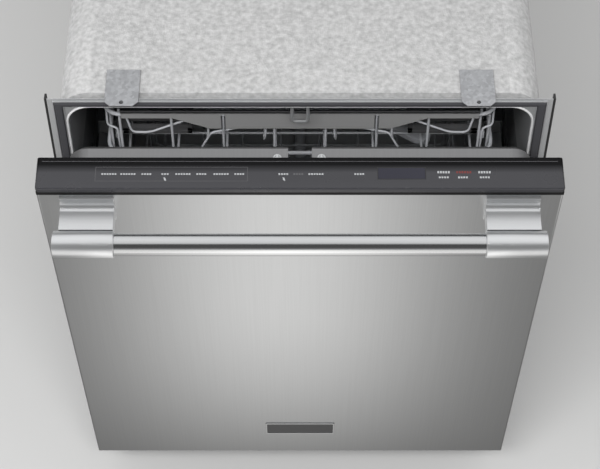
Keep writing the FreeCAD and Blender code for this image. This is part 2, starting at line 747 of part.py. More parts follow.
def handle_post():
    """One end of the handle: a foot on the door, a flared arm and the cylinder that holds the bar."""
    face = -PANEL_FRONT
    foot_face = face - HANDLE_FOOT_THICKNESS
    middle = HANDLE_AXIS_Z - HANDLE_ARM_DROP
    top = middle + HANDLE_FOOT_HEIGHT / 2
    bottom = middle - HANDLE_FOOT_HEIGHT / 2
    arm_top = middle + HANDLE_ARM_THICKNESS / 2
    arm_bottom = middle - HANDLE_ARM_THICKNESS / 2
    flare = HANDLE_ARM_FLARE
    bow = flare * (1 - math.sqrt(0.5))
    x = HANDLE_ARM_INNER
    upper = Part.Arc(V(x, foot_face, arm_top + flare), V(x, foot_face - bow, arm_top + bow),
                     V(x, foot_face - flare, arm_top))
    lower = Part.Arc(V(x, foot_face - flare, arm_bottom), V(x, foot_face - bow, arm_bottom - bow),
                     V(x, foot_face, arm_bottom - flare))
    corners = [V(x, foot_face, arm_bottom - flare), V(x, foot_face, bottom), V(x, face, bottom),
               V(x, face, top), V(x, foot_face, top), V(x, foot_face, arm_top + flare)]
    edges = [Part.LineSegment(corners[i], corners[i + 1]).toShape() for i in range(5)]
    edges += [upper.toShape(),
              Part.LineSegment(V(x, foot_face - flare, arm_top),
                               V(x, HANDLE_AXIS_Y, arm_top)).toShape(),
              Part.LineSegment(V(x, HANDLE_AXIS_Y, arm_top),
                               V(x, HANDLE_AXIS_Y, arm_bottom)).toShape(),
              Part.LineSegment(V(x, HANDLE_AXIS_Y, arm_bottom),
                               V(x, foot_face - flare, arm_bottom)).toShape(),
              lower.toShape()]
    arm_face = Part.Face(Part.Wire(Part.__sortEdges__(edges)))
    arm = arm_face.extrude(V(HANDLE_ARM_OUTER - HANDLE_ARM_INNER, 0, 0))
    axis_start = V(HANDLE_END_INNER, HANDLE_AXIS_Y, HANDLE_AXIS_Z)
    length = HANDLE_END_OUTER - HANDLE_END_INNER
    arm = arm.cut(round_hole(HANDLE_END_RADIUS + HANDLE_SEAM, length, axis_start, X_AXIS,
                             HANDLE_SIDES))
    end = round_bar(HANDLE_END_RADIUS, length, axis_start, X_AXIS, HANDLE_SIDES)
    end = end.makeChamfer(HANDLE_END_CHAMFER, [edge for edge in end.Edges
                                               if near(edge.BoundBox.XMin, HANDLE_END_OUTER)])
    neck_inset = 3 * HANDLE_SEAM
    neck = box(HANDLE_ARM_INNER + neck_inset, HANDLE_ARM_OUTER - neck_inset,
               HANDLE_AXIS_Y, HANDLE_AXIS_Y + HANDLE_END_RADIUS + 3 * HANDLE_SEAM,
               arm_bottom + neck_inset / 2, arm_top - neck_inset / 2)
    bore = round_hole(HANDLE_BAR_RADIUS + HANDLE_BORE_GAP, HANDLE_BORE_DEPTH, axis_start, X_AXIS,
                      HANDLE_SIDES)
    return fused([arm, neck, end]).cut(bore)


def handle_bar():
    half = HANDLE_END_INNER + HANDLE_BORE_DEPTH - SEAT_GAP
    return cylinder(HANDLE_BAR_RADIUS, 2 * half, V(-half, HANDLE_AXIS_Y, HANDLE_AXIS_Z), X_AXIS)


def dispenser():
    half = DISPENSER_WIDTH / 2
    rise = DISPENSER_HEIGHT / 2
    face_y = TRAY_PROUD + DISPENSER_FACE
    face = box(-half, half, TRAY_PROUD, face_y, DISPENSER_Z - rise, DISPENSER_Z + rise)
    face = rounded(face, LEDGE_WIDTH / 3, lambda middle, direction: along(direction, Y_AXIS))
    inset = DISPENSER_BODY_INSET
    body = box(-half + inset, half - inset, TRAY_PROUD - DISPENSER_BODY_DEPTH, TRAY_PROUD,
               DISPENSER_Z - rise + inset, DISPENSER_Z + rise - inset)
    cup = box(CUP_LEFT, CUP_LEFT + CUP_WIDTH, face_y - CUP_DEPTH, face_y + OVERCUT,
              DISPENSER_Z - CUP_HEIGHT / 2, DISPENSER_Z + CUP_HEIGHT / 2)
    barrel = lid_barrel_centre()
    lugs = []
    for x_low in (CUP_LEFT - LID_LAP, CUP_LEFT + CUP_WIDTH + LID_LAP - LID_LUG):
        lugs.append(box(x_low, x_low + LID_LUG, face_y, barrel.y + LID_BARREL_RADIUS,
                        barrel.z - LID_BARREL_RADIUS, barrel.z + LID_BARREL_RADIUS))
    pin = cylinder(LID_PIN_RADIUS, CUP_WIDTH + 2 * LID_LAP, V(CUP_LEFT - LID_LAP, barrel.y, barrel.z),
                   X_AXIS)
    spigot = round_bar(RINSE_SPIGOT_RADIUS, RINSE_CAP_HEIGHT, V(RINSE_CAP_X, face_y - OVERCUT, DISPENSER_Z),
                       Y_AXIS)
    return fused([face, body]).cut(cup).multiFuse(lugs + [pin, spigot]).removeSplitter()


def lid_barrel_centre():
    return V(0, TRAY_PROUD + DISPENSER_FACE + SEAT_GAP + LID_BARREL_RADIUS,
             DISPENSER_Z - CUP_HEIGHT / 2 - LID_LAP - LID_BARREL_RADIUS)


def dispenser_lid():
    face_y = TRAY_PROUD + DISPENSER_FACE + SEAT_GAP
    barrel = lid_barrel_centre()
    left = CUP_LEFT - LID_LAP + LID_LUG + SEAT_GAP
    right = CUP_LEFT + CUP_WIDTH + LID_LAP - LID_LUG - SEAT_GAP
    plate = box(left, right, face_y, face_y + LID_THICKNESS, barrel.z,
                DISPENSER_Z + CUP_HEIGHT / 2 + LID_LAP)
    catch = box(left, right, face_y + LID_THICKNESS, face_y + 2 * LID_THICKNESS,
                DISPENSER_Z + CUP_HEIGHT / 2 - LID_LAP, DISPENSER_Z + CUP_HEIGHT / 2)
    tube = cylinder(LID_BARREL_RADIUS, right - left, V(left, barrel.y, barrel.z), X_AXIS)
    bore = cylinder(LID_PIN_RADIUS + RUNNING_GAP, right - left, V(left, barrel.y, barrel.z), X_AXIS)
    return fused([plate, catch, tube]).cut(bore)


def rinse_cap():
    face_y = TRAY_PROUD + DISPENSER_FACE + SEAT_GAP
    start = V(RINSE_CAP_X, face_y, DISPENSER_Z)
    disc = round_bar(RINSE_CAP_RADIUS, RINSE_CAP_HEIGHT, start, Y_AXIS)
    grip = box(RINSE_CAP_X - RINSE_CAP_RADIUS * 0.8, RINSE_CAP_X + RINSE_CAP_RADIUS * 0.8,
               face_y + RINSE_CAP_HEIGHT, face_y + 2 * RINSE_CAP_HEIGHT,
               DISPENSER_Z - SHEET * 2, DISPENSER_Z + SHEET * 2)
    socket = cylinder(RINSE_SPIGOT_RADIUS + RUNNING_GAP, RINSE_CAP_HEIGHT - SHEET, start, Y_AXIS)
    return fused([disc, grip]).cut(socket)


# Cabinet

def tub_profile(grow, floor, y_low, y_high):
    """The tub's cross-section with a roller ledge along each side, grown outwards by grow."""
    side = HALF_CAVITY + grow
    inner = HALF_LEDGE + grow
    top = OPENING_TOP + grow
    step = LEDGE_TOP - grow
    half = [(side, top), (side, step), (inner, step), (inner, floor)]
    solid = plate_xz(half + [(-x, z) for x, z in reversed(half)], y_low, y_high)
    return rounded(solid, TUB_CORNER + grow, lambda middle, direction: near(middle.z, top)
                   and along(direction, Y_AXIS))


def tub():
    """The tub, its roller ledges set back from the front to clear the swinging door liner."""
    outer = tub_profile(TUB_WALL, TUB_FLOOR - TUB_WALL, 0, CAVITY_DEPTH + TUB_WALL)
    flange = box(-HALF_FLANGE, HALF_FLANGE, 0, TUB_WALL, FLANGE_BOTTOM, CONSOLE_TOP)
    half = HALF_CAVITY
    front_well = box(-half - TUB_WALL, half + TUB_WALL, 0, LEDGE_FRONT, TUB_FLOOR - TUB_WALL, LEDGE_TOP)
    shell = fused([outer, flange, front_well])
    shell = shell.cut(tub_profile(0, TUB_FLOOR, TUB_WALL, CAVITY_DEPTH))
    shell = shell.cut(tub_profile(0, SILL_TOP, -OVERCUT, TUB_WALL + OVERCUT))
    shell = shell.cut(box(-half, half, TUB_WALL, LEDGE_FRONT - TUB_WALL, TUB_FLOOR, LEDGE_TOP + OVERCUT))
    shell = shell.cut(box(-half, half, -OVERCUT, TUB_WALL + OVERCUT, SILL_TOP, LEDGE_TOP + OVERCUT))
    sump_hole = round_hole(SUMP_RADIUS + SEAT_GAP, 4 * TUB_WALL,
                           V(0, WASH_CENTRE_Y, TUB_FLOOR - 2 * TUB_WALL), Z_AXIS)
    float_hole = round_hole(FLOAT_STEM_RADIUS + RUNNING_GAP, 4 * TUB_WALL,
                            V(FLOAT_X, FLOAT_Y, TUB_FLOOR - 2 * TUB_WALL), Z_AXIS)
    shell = shell.cut(sump_hole).cut(float_hole)
    slot = box(EAR_INNER - HINGE_SIDE_GAP / 2, EAR_OUTER + HINGE_SIDE_GAP / 2, -OVERCUT,
               TUB_WALL + OVERCUT, HINGE.z - HINGE_EAR_RADIUS - SEAT_GAP,
               HINGE.z + HINGE_EAR_RADIUS + SEAT_GAP)
    shell = shell.cut(slot).cut(mirrored(slot))
    return shell.multiFuse(channel_ribs()).removeSplitter()


def channel_ribs():
    """The raised edges of the channel that holds the door gasket."""
    low = TRAY_BOTTOM
    ribs = []
    inner = HALF_CAVITY + CHANNEL_INSET
    outer = inner + CHANNEL_RIB + 2 * SEAT_GAP + GASKET_WIDTH
    for start, top in ((inner, channel_top()), (outer, channel_top() + channel_rise())):
        rib = box(start, start + CHANNEL_RIB, -CHANNEL_RIB_HEIGHT, 0, low, top)
        ribs += [rib, mirrored(rib)]
        ribs.append(box(-start, start, -CHANNEL_RIB_HEIGHT, 0, top - CHANNEL_RIB, top))
    return ribs


def channel_top():
    return OPENING_TOP + CHANNEL_INSET + CHANNEL_RIB


def channel_rise():
    return GASKET_TOP_WIDTH + 2 * SEAT_GAP + CHANNEL_RIB


def tub_gasket():
    inner = HALF_CAVITY + CHANNEL_INSET + CHANNEL_RIB + SEAT_GAP
    outer = inner + GASKET_WIDTH
    low = channel_top() + SEAT_GAP
    high = low + GASKET_TOP_WIDTH
    front = -LINER_SETBACK + SEAT_GAP
    side = box(inner, outer, front, 0, TRAY_BOTTOM, high)
    top = box(-outer, outer, front, 0, low, high)
    seal = fused([side, mirrored(side), top])
    return seal.makeChamfer(GASKET_CHAMFER, [edge for edge in seal.Edges
                                             if near(edge.BoundBox.YMax, front)])


def edge_trim():
    inner = HALF_FLANGE + SEAT_GAP
    strip = box(inner, HALF_DOOR, 0, EDGE_TRIM_DEPTH, FLANGE_BOTTOM, CONSOLE_TOP)
    return Part.makeCompound([strip, mirrored(strip)])


def insulation_blanket():
    inner_grow = TUB_WALL + SEAT_GAP
    outer_grow = inner_grow + BLANKET_THICKNESS
    outer = tub_profile(outer_grow, TUB_FLOOR, BLANKET_FRONT, blanket_rear())
    inner = tub_profile(inner_grow, TUB_FLOOR - OVERCUT, BLANKET_FRONT - OVERCUT,
                        CAVITY_DEPTH + inner_grow)
    below = box(-HALF_FLANGE, HALF_FLANGE, 0, 2 * CAVITY_DEPTH, 0, BLANKET_BOTTOM)
    return outer.cut(inner).cut(below)


def mount_bracket():
    top = CONSOLE_TOP + TUB_WALL
    half = BRACKET_WIDTH / 2
    plate = box(BRACKET_X - half, BRACKET_X + half, -BRACKET_HOLE_AHEAD * 2, BRACKET_REACH,
                CONSOLE_TOP, top)
    plate = plate.makeChamfer(half / 3, [edge for edge in plate.Edges
                                         if near(edge.BoundBox.YMax, -BRACKET_HOLE_AHEAD * 2)
                                         and edge.BoundBox.XLength < OVERCUT])
    leg = box(BRACKET_X - half, BRACKET_X + half, TUB_WALL, 2 * TUB_WALL, CONSOLE_TOP - BRACKET_LEG,
              CONSOLE_TOP)
    hole = cylinder(BRACKET_HOLE_RADIUS, 3 * TUB_WALL,
                    V(BRACKET_X, -BRACKET_HOLE_AHEAD, CONSOLE_TOP - TUB_WALL), Z_AXIS)
    return fused([plate, leg]).cut(hole)


def hinge_cassette():
    """The closed case of the door's counterbalance spring, with the ear and pin that it holds."""
    inner = HALF_BASE
    top = FLANGE_BOTTOM
    case = box(inner, inner + CASSETTE_THICKNESS, CASSETTE_FRONT, CASSETTE_FRONT + CASSETTE_LENGTH,
               top - CASSETTE_HEIGHT, top)
    case = case.makeChamfer(CASSETTE_THICKNESS / 3, [edge for edge in case.Edges if
                                                     near(edge.BoundBox.XMin, inner + CASSETTE_THICKNESS)])
    rear = CASSETTE_FRONT + CASSETTE_LENGTH / 3
    ear_low = HINGE.z - HINGE_EAR_RADIUS
    ear_high = HINGE.z + HINGE_EAR_RADIUS
    middle = top - CASSETTE_HEIGHT / 2
    ear = plate_yz([(HINGE.y, ear_low), (CASSETTE_FRONT, ear_low), (CASSETTE_FRONT, middle),
                    (rear, middle), (rear, ear_high), (HINGE.y, ear_high)], EAR_INNER, EAR_OUTER)
    nose = cylinder(HINGE_EAR_RADIUS, HINGE_EAR_THICKNESS, V(EAR_INNER, HINGE.y, HINGE.z), X_AXIS)
    pin = cylinder(HINGE_PIN_RADIUS, EAR_INNER - HINGE_ARM_INNER + OVERCUT,
                   V(HINGE_ARM_INNER - OVERCUT, HINGE.y, HINGE.z), X_AXIS)
    return fused([case, ear, nose, pin])


def base_frame():
    low = BASE_BOTTOM
    outer = box(-HALF_BASE, HALF_BASE, BASE_FRONT, BASE_REAR, low, BASE_WALL_TOP)
    inner = box(-HALF_BASE + BASE_WALL, HALF_BASE - BASE_WALL, BASE_FRONT + BASE_WALL,
                BASE_REAR - BASE_WALL, low + BASE_WALL, BASE_WALL_TOP + OVERCUT)
    tray = outer.cut(inner)
    windows = []
    for x in (-1.5, 0, 1.5):
        centre = x * BASE_WINDOW
        windows.append(box(centre - BASE_WINDOW / 2, centre + BASE_WINDOW / 2, 0, 3 * BASE_FRONT,
                           low + 3 * BASE_WALL, BASE_WALL_TOP - 3 * BASE_WALL))
    for window in windows + service_holes():
        tray = tray.cut(window)
    saddles = []
    for y in (BASE_FRONT + FOOT_INSET * 1.7, BASE_REAR - FOOT_INSET * 1.7):
        saddle = box(-HALF_LEDGE, HALF_LEDGE, y - BASE_RIB / 2, y + BASE_RIB / 2,
                     low + BASE_WALL, TUB_FLOOR - TUB_WALL)
        saddles.append(saddle)
    bosses = []
    for x, y in foot_places():
        bosses.append(round_bar(FOOT_BOSS_RADIUS, FOOT_BOSS_HEIGHT, V(x, y, low), Z_AXIS, TUBE_SIDES))
    frame = tray.multiFuse(saddles + bosses)
    for x, y in foot_places():
        frame = frame.cut(round_hole(FOOT_STEM_RADIUS + RUNNING_GAP, FOOT_BOSS_HEIGHT + 2 * OVERCUT,
                                     V(x, y, low - OVERCUT), Z_AXIS))
    return frame.removeSplitter()


def service_holes():
    """Round holes in the base's sides, in line with the inlet valve and the junction box."""
    floor = BASE_BOTTOM + BASE_WALL
    hose = round_hole(HOSE_HOLE_RADIUS, 4 * BASE_WALL,
                      V(-HALF_BASE - BASE_WALL, VALVE_Y, floor + VALVE_SIZE / 2), X_AXIS)
    cable = round_hole(CABLE_HOLE_RADIUS, 4 * BASE_WALL,
                       V(HALF_BASE - 2 * BASE_WALL, JUNCTION_Y + JUNCTION_DEPTH / 2,
                         floor + JUNCTION_HEIGHT / 2), X_AXIS)
    return [hose, cable]


def foot_places():
    rear = BASE_REAR - FOOT_INSET
    front = BASE_FRONT + FOOT_INSET
    return [(-FOOT_X, front), (FOOT_X, front), (-FOOT_X, rear), (FOOT_X, rear)]


def levelling_foot(x, y):
    flats = []
    for i in range(FOOT_FLATS):
        turn = 2 * math.pi * i / FOOT_FLATS
        flats.append((x + FOOT_RADIUS * math.cos(turn), y + FOOT_RADIUS * math.sin(turn)))
    pad = plate_xy(flats, 0, FOOT_HEIGHT)
    stem = round_bar(FOOT_STEM_RADIUS, FOOT_TRAVEL + FOOT_GRIP, V(x, y, FOOT_HEIGHT), Z_AXIS)
    return fused([pad, stem])


def toe_kick():
    half = HALF_FLANGE - KICK_SIDE_INSET
    rear = BASE_FRONT
    front = rear - KICK_THICKNESS
    panel = box(-half, half, front, rear, KICK_BOTTOM, KICK_BOTTOM + KICK_HEIGHT)
    step = 2 * KICK_LOUVRE_HEIGHT
    for column in (-1, 0, 1):
        centre = column * 3 * KICK_LOUVRE_LENGTH
        for row in range(KICK_LOUVRE_COUNT // 3):
            z = KICK_BOTTOM + KICK_HEIGHT / 3 + row * step
            panel = panel.cut(box(centre - KICK_LOUVRE_LENGTH, centre + KICK_LOUVRE_LENGTH,
                                  front - OVERCUT, rear + OVERCUT, z, z + KICK_LOUVRE_HEIGHT))
    return panel


def wash_centre(z):
    return V(0, WASH_CENTRE_Y, z)


def sump():
    """The plastic bowl in the tub's floor, with the pedestal that carries the lower spray arm."""
    rim = TUB_FLOOR
    low = rim - SUMP_DEPTH
    inner_shoulder = rim - SUMP_SHOULDER + SUMP_WALL / 2
    bowl = turned([(0, low), (SUMP_BOTTOM_RADIUS, low),
                   (SUMP_RADIUS, rim - SUMP_SHOULDER), (SUMP_RADIUS, rim),
                   (SUMP_RADIUS + SUMP_FLANGE, rim), (SUMP_RADIUS + SUMP_FLANGE, rim + SUMP_RIM),
                   (SUMP_RADIUS - SUMP_WALL, rim + SUMP_RIM), (SUMP_RADIUS - SUMP_WALL, inner_shoulder),
                   (SUMP_BOTTOM_RADIUS - SUMP_WALL, low + SUMP_WALL), (0, low + SUMP_WALL)],
                  wash_centre(0))
    pedestal = round_bar(HUB_RADIUS, SPRAY_HUB_Z - low - OVERCUT, wash_centre(low + OVERCUT), Z_AXIS)
    spigot = round_bar(SPIGOT_RADIUS, SPIGOT_HEIGHT, wash_centre(SPRAY_HUB_Z), Z_AXIS)
    port_z = rim - PORT_Z_DROP
    inner = SUMP_BOTTOM_RADIUS
    wash_port = round_bar(PORT_RADIUS, PORT_REACH - inner, V(inner, WASH_CENTRE_Y, port_z), X_AXIS)
    drain_port = round_bar(PORT_RADIUS / 2, PORT_REACH - inner, V(-PORT_REACH, WASH_CENTRE_Y, port_z),
                           X_AXIS)
    hollow = turned([(HUB_RADIUS, low + SUMP_WALL), (SUMP_BOTTOM_RADIUS - SUMP_WALL, low + SUMP_WALL),
                     (SUMP_RADIUS - SUMP_WALL, inner_shoulder), (SUMP_RADIUS - SUMP_WALL, rim - SUMP_WALL),
                     (HUB_RADIUS, rim - SUMP_WALL)], wash_centre(0))
    ports = fused([wash_port, drain_port]).cut(hollow)
    return fused([bowl, pedestal, spigot, ports])


def filter_plate():
    low = TUB_FLOOR + SUMP_RIM
    plate = round_bar(SUMP_RADIUS, FILTER_PLATE_THICKNESS, wash_centre(low), Z_AXIS, BOWL_SIDES)
    hub_hole = round_hole(HUB_RADIUS + SEAT_GAP, 3 * OVERCUT, wash_centre(low - OVERCUT), Z_AXIS)
    cup = filter_cup_centre(low - OVERCUT)
    cup_hole = round_hole(FILTER_CUP_RADIUS + SEAT_GAP, 3 * OVERCUT, cup, Z_AXIS)
    return plate.cut(hub_hole).cut(cup_hole)


def filter_cup_centre(z):
    return V(FILTER_CUP_X, WASH_CENTRE_Y - FILTER_CUP_AHEAD, z)


def filter_cup():
    """The twist-out filter: a mesh cup under a collar with a grip across it."""
    plate_top = TUB_FLOOR + SUMP_RIM + FILTER_PLATE_THICKNESS
    low = plate_top - FILTER_CUP_DEPTH
    radius = FILTER_CUP_RADIUS
    wall = FILTER_CUP_WALL
    collar = radius + FILTER_CUP_COLLAR
    foot = radius - 2 * FILTER_CUP_COLLAR
    cup = turned([(0, low), (foot, low), (radius - SEAT_GAP, plate_top),
                  (collar, plate_top + SEAT_GAP), (collar, plate_top + wall),
                  (radius - wall, plate_top + wall), (foot - wall, low + wall), (0, low + wall)],
                 filter_cup_centre(0), ROUND_SIDES)
    grip_half = radius - wall
    centre_y = filter_cup_centre(0).y
    grip = box(FILTER_CUP_X - grip_half, FILTER_CUP_X + grip_half, centre_y - wall / 2,
               centre_y + wall / 2, plate_top - 3 * wall, plate_top + FILTER_CUP_PROUD)
    return fused([cup, grip])


def heater_element():
    z = TUB_FLOOR + HEATER_HEIGHT
    gap = math.radians(HEATER_GAP_DEGREES)
    points = []
    for i in range(HEATER_RUN_COUNT + 1):
        turn = math.pi / 2 + gap / 2 + (2 * math.pi - gap) * i / HEATER_RUN_COUNT
        points.append((HEATER_RADIUS * math.cos(turn), WASH_CENTRE_Y + HEATER_RADIUS * math.sin(turn), z))
    ring = bent_wire(points, HEATER_TUBE_RADIUS)
    legs = []
    for x, y, top in (points[0], points[-1]):
        legs.append(box(x - HEATER_TUBE_RADIUS, x + HEATER_TUBE_RADIUS, y - HEATER_TUBE_RADIUS,
                        y + HEATER_TUBE_RADIUS, TUB_FLOOR, top))
    for turn in (math.radians(200), math.radians(340)):
        x = HEATER_RADIUS * math.cos(turn)
        y = WASH_CENTRE_Y + HEATER_RADIUS * math.sin(turn)
        legs.append(box(x - 2 * HEATER_TUBE_RADIUS, x + 2 * HEATER_TUBE_RADIUS, y - OVERCUT,
                        y + OVERCUT, TUB_FLOOR, z))
    return fused([ring] + legs)


def float_cap():
    """The level float, whose stem goes down through the tub's floor."""
    low = TUB_FLOOR + SEAT_GAP
    top = low + FLOAT_HEIGHT
    stem_low = TUB_FLOOR - FLOAT_TRAVEL - FLOAT_GUIDE
    return turned([(0, stem_low), (FLOAT_STEM_RADIUS, stem_low), (FLOAT_STEM_RADIUS, low),
                   (FLOAT_RADIUS, low), (FLOAT_RADIUS, top - FLOAT_HEIGHT / 3),
                   (FLOAT_RADIUS * 0.7, top), (0, top)], V(FLOAT_X, FLOAT_Y, 0), ROUND_SIDES)


def riser_tube():
    """The conduit from the sump along the tub's floor and up its rear wall to the upper feed."""
    floor_z = TUB_FLOOR + CONDUIT_HEIGHT
    port_z = FEED_Z
    conduit = bent_wire([(0, WASH_CENTRE_Y + HUB_RADIUS + 2 * OVERCUT, floor_z),
                         (0, RISER_Y - 3 * OVERCUT, floor_z),
                         (0, RISER_Y, floor_z + 3 * OVERCUT),
                         (0, RISER_Y, port_z - RISER_RADIUS)], RISER_RADIUS, TUBE_SIDES)
    head = round_bar(FEED_PORT_RADIUS, 2 * FEED_PORT_RADIUS, V(0, RISER_Y, port_z - FEED_PORT_RADIUS),
                     Z_AXIS)
    clip = box(-FEED_PORT_RADIUS, FEED_PORT_RADIUS, RISER_Y, CAVITY_DEPTH, port_z - 4.0, port_z + 4.0)
    return fused([conduit, head, clip])


def circulation_pump():
    port_z = TUB_FLOOR - PORT_Z_DROP
    start = V(PORT_REACH, WASH_CENTRE_Y, port_z)
    neck = round_bar(PORT_RADIUS, WASH_PUMP_RADIUS / 3, start, X_AXIS)
    body_z = BASE_BOTTOM + BASE_WALL + SEAT_GAP + WASH_PUMP_RADIUS
    body_start = PORT_REACH + WASH_PUMP_RADIUS / 3
    length = HALF_BASE - BASE_WALL - WASH_PUMP_END_GAP - body_start
    body = round_bar(WASH_PUMP_RADIUS, length, V(body_start, WASH_CENTRE_Y, body_z), X_AXIS)
    return fused([neck, body])


def drain_pump():
    port_z = TUB_FLOOR - PORT_Z_DROP
    start = V(-PORT_REACH - DRAIN_PUMP_RADIUS, WASH_CENTRE_Y, port_z)
    neck = round_bar(PORT_RADIUS / 2, DRAIN_PUMP_RADIUS, start, X_AXIS)
    body_z = BASE_BOTTOM + BASE_WALL + SEAT_GAP + DRAIN_PUMP_RADIUS
    top = round_bar(DRAIN_PUMP_RADIUS * 0.8, port_z + PORT_RADIUS - body_z,
                    V(start.x, WASH_CENTRE_Y, body_z), Z_AXIS)
    body = round_bar(DRAIN_PUMP_RADIUS, DRAIN_PUMP_LENGTH,
                     V(start.x, WASH_CENTRE_Y - DRAIN_PUMP_LENGTH / 2, body_z), Y_AXIS)
    return fused([neck, body, top])


def inlet_valve():
    low = BASE_BOTTOM + BASE_WALL
    half = VALVE_SIZE / 2
    body = box(VALVE_X - half, VALVE_X + half, VALVE_Y - half, VALVE_Y + half, low, low + VALVE_SIZE)
    thread = cylinder(VALVE_THREAD_RADIUS, VALVE_THREAD_LENGTH + OVERCUT,
                      V(VALVE_X - half - VALVE_THREAD_LENGTH, VALVE_Y, low + half), X_AXIS)
    coil = round_bar(half * 0.7, half, V(VALVE_X, VALVE_Y, low + VALVE_SIZE - OVERCUT), Z_AXIS)
    return fused([body, thread, coil])


def junction_box():
    """The metal box for the supply wires, with a knocked-out hole in its outer side."""
    low = BASE_BOTTOM + BASE_WALL
    half = JUNCTION_WIDTH / 2
    rear = JUNCTION_Y + JUNCTION_DEPTH
    case = box(JUNCTION_X - half, JUNCTION_X + half, JUNCTION_Y, rear, low, low + JUNCTION_HEIGHT)
    room = box(JUNCTION_X - half + SHEET, JUNCTION_X + half - SHEET, JUNCTION_Y + SHEET, rear - SHEET,
               low + SHEET, low + JUNCTION_HEIGHT - SHEET)
    entry = cylinder(GLAND_RADIUS, 3 * SHEET,
                     V(JUNCTION_X + half - 2 * SHEET, JUNCTION_Y + JUNCTION_DEPTH / 2,
                       low + JUNCTION_HEIGHT / 2), X_AXIS)
    return case.cut(room).cut(entry)


# Spray arms

def spray_arm(radius, low, centre_y, turn_degrees, nozzles_up):
    """Two tapered blades on a hub, with a row of nozzles on each blade."""
    high = low + ARM_THICKNESS
    outline = [(-ARM_ROOT, -ARM_HUB_RADIUS * 0.9), (0, -ARM_HUB_RADIUS), (ARM_ROOT, -ARM_HUB_RADIUS * 0.9),
               (radius - ARM_TIP, -ARM_TIP), (radius - ARM_TIP / 3, -ARM_TIP * 0.7), (radius, 0),
               (radius - ARM_TIP / 3, ARM_TIP * 0.7), (radius - ARM_TIP, ARM_TIP),
               (ARM_ROOT, ARM_HUB_RADIUS * 0.9), (0, ARM_HUB_RADIUS), (-ARM_ROOT, ARM_HUB_RADIUS * 0.9)]
    blade_points = outline[2:9]
    other = [(-x, -y) for x, y in blade_points]
    blades = plate_xy(blade_points + other, low, high)
    top_edge = high if nozzles_up else low
    blades = blades.makeChamfer(ARM_THICKNESS / 4, [edge for edge in blades.Edges
                                                    if near(edge.CenterOfMass.z, top_edge)])
    pieces = [blades, round_bar(ARM_HUB_RADIUS, ARM_THICKNESS + NOZZLE_HEIGHT,
                                V(0, 0, low if nozzles_up else low - NOZZLE_HEIGHT), Z_AXIS)]
    for side in (-1, 1):
        for i in range(NOZZLE_COUNT):
            reach = ARM_ROOT + (radius - ARM_ROOT - ARM_TIP) * (i + 0.6) / NOZZLE_COUNT
            offset = side * ARM_TIP * (0.3 if i % 2 else -0.3)
            base = top_edge - OVERCUT if nozzles_up else top_edge + OVERCUT
            tip = base + (NOZZLE_HEIGHT + OVERCUT) * (1 if nozzles_up else -1)
            pieces.append(rod((side * reach, offset, base), (side * reach, offset, tip), NOZZLE_RADIUS))
    arm = fused(pieces)
    bore = cylinder(SPIGOT_RADIUS + RUNNING_GAP, ARM_THICKNESS + 2 * NOZZLE_HEIGHT + 2 * OVERCUT,
                    V(0, 0, low - NOZZLE_HEIGHT - OVERCUT), Z_AXIS)
    arm = arm.cut(bore)
    arm.rotate(ORIGIN, Z_AXIS, turn_degrees)
    arm.translate(V(0, centre_y, 0))
    return arm


def lower_spray_arm():
    return spray_arm(LOWER_ARM_RADIUS, SPRAY_HUB_Z + SEAT_GAP, WASH_CENTRE_Y, 28.0, True)


def upper_arm_centre_y():
    return UPPER_RACK_FRONT + UPPER_RACK_DEPTH / 2


def upper_arm_low():
    return FEED_Z - FEED_RADIUS - SEAT_GAP - ARM_THICKNESS


def upper_spray_arm():
    return spray_arm(UPPER_ARM_RADIUS, upper_arm_low(), upper_arm_centre_y(), -35.0, False)


def upper_feed():
    """The conduit under the upper rack, with the hub that carries the upper spray arm."""
    port_y = RISER_Y - FEED_PORT_RADIUS - SEAT_GAP
    centre_y = upper_arm_centre_y()
    conduit = rod((0, centre_y - FEED_PORT_RADIUS, FEED_Z), (0, port_y, FEED_Z), FEED_RADIUS,
                  TUBE_SIDES)
    skirt = round_bar(FEED_PORT_RADIUS, RISER_RADIUS, V(0, port_y - RISER_RADIUS, FEED_Z), Y_AXIS,
                      TUBE_SIDES)
    reach = FEED_Z - upper_arm_low() + NOZZLE_HEIGHT + SEAT_GAP
    spigot = round_bar(SPIGOT_RADIUS, reach, V(0, centre_y, FEED_Z - reach), Z_AXIS)
    cap_low = FEED_Z - reach - ARM_CAP_THICKNESS
    cap = round_bar(SPIGOT_RADIUS + ARM_CAP_THICKNESS, ARM_CAP_THICKNESS, V(0, centre_y, cap_low), Z_AXIS)
    return fused([conduit, skirt, spigot, cap])


# Racks

def spread(low, high, count):
    return [low + (high - low) * i / (count - 1) for i in range(count)]


def wire_basket(front, rear, floor, front_top, side_top, rear_top, across_count, along_count):
    """Bent wires across and along, each resting on the one below, inside two rim wires."""
    half = RACK_HALF_WIDTH
    wires = []
    inset = RACK_BEND + RIM_WIRE + RACK_WIRE
    for y in spread(front + inset, rear - inset, across_count):
        wires += wire_runs(hoop((-half, y, floor), side_top - floor, RACK_BEND, 2 * half,
                                side_top - floor, X_AXIS), RACK_WIRE)
    along_z = floor + 2 * RACK_WIRE
    inner = half - RACK_BEND - RACK_WIRE
    for x in spread(-inner, inner, along_count):
        wires += wire_runs(hoop((x, front, along_z), front_top - along_z, RACK_BEND, rear - front,
                                rear_top - along_z, Y_AXIS), RACK_WIRE)
    return wires


def rim_loop(front, rear, z, corner):
    """A closed rim wire outside the hoops."""
    side = RACK_HALF_WIDTH + RACK_WIRE + RIM_WIRE
    low = front - RACK_WIRE - RIM_WIRE
    high = rear + RACK_WIRE + RIM_WIRE
    points = [(-side, low + corner, z), (-side + corner, low, z), (side - corner, low, z),
              (side, low + corner, z), (side, high - corner, z), (side - corner, high, z),
              (-side + corner, high, z), (-side, high - corner, z)]
    return wire_runs(points, RIM_WIRE, closed=True)


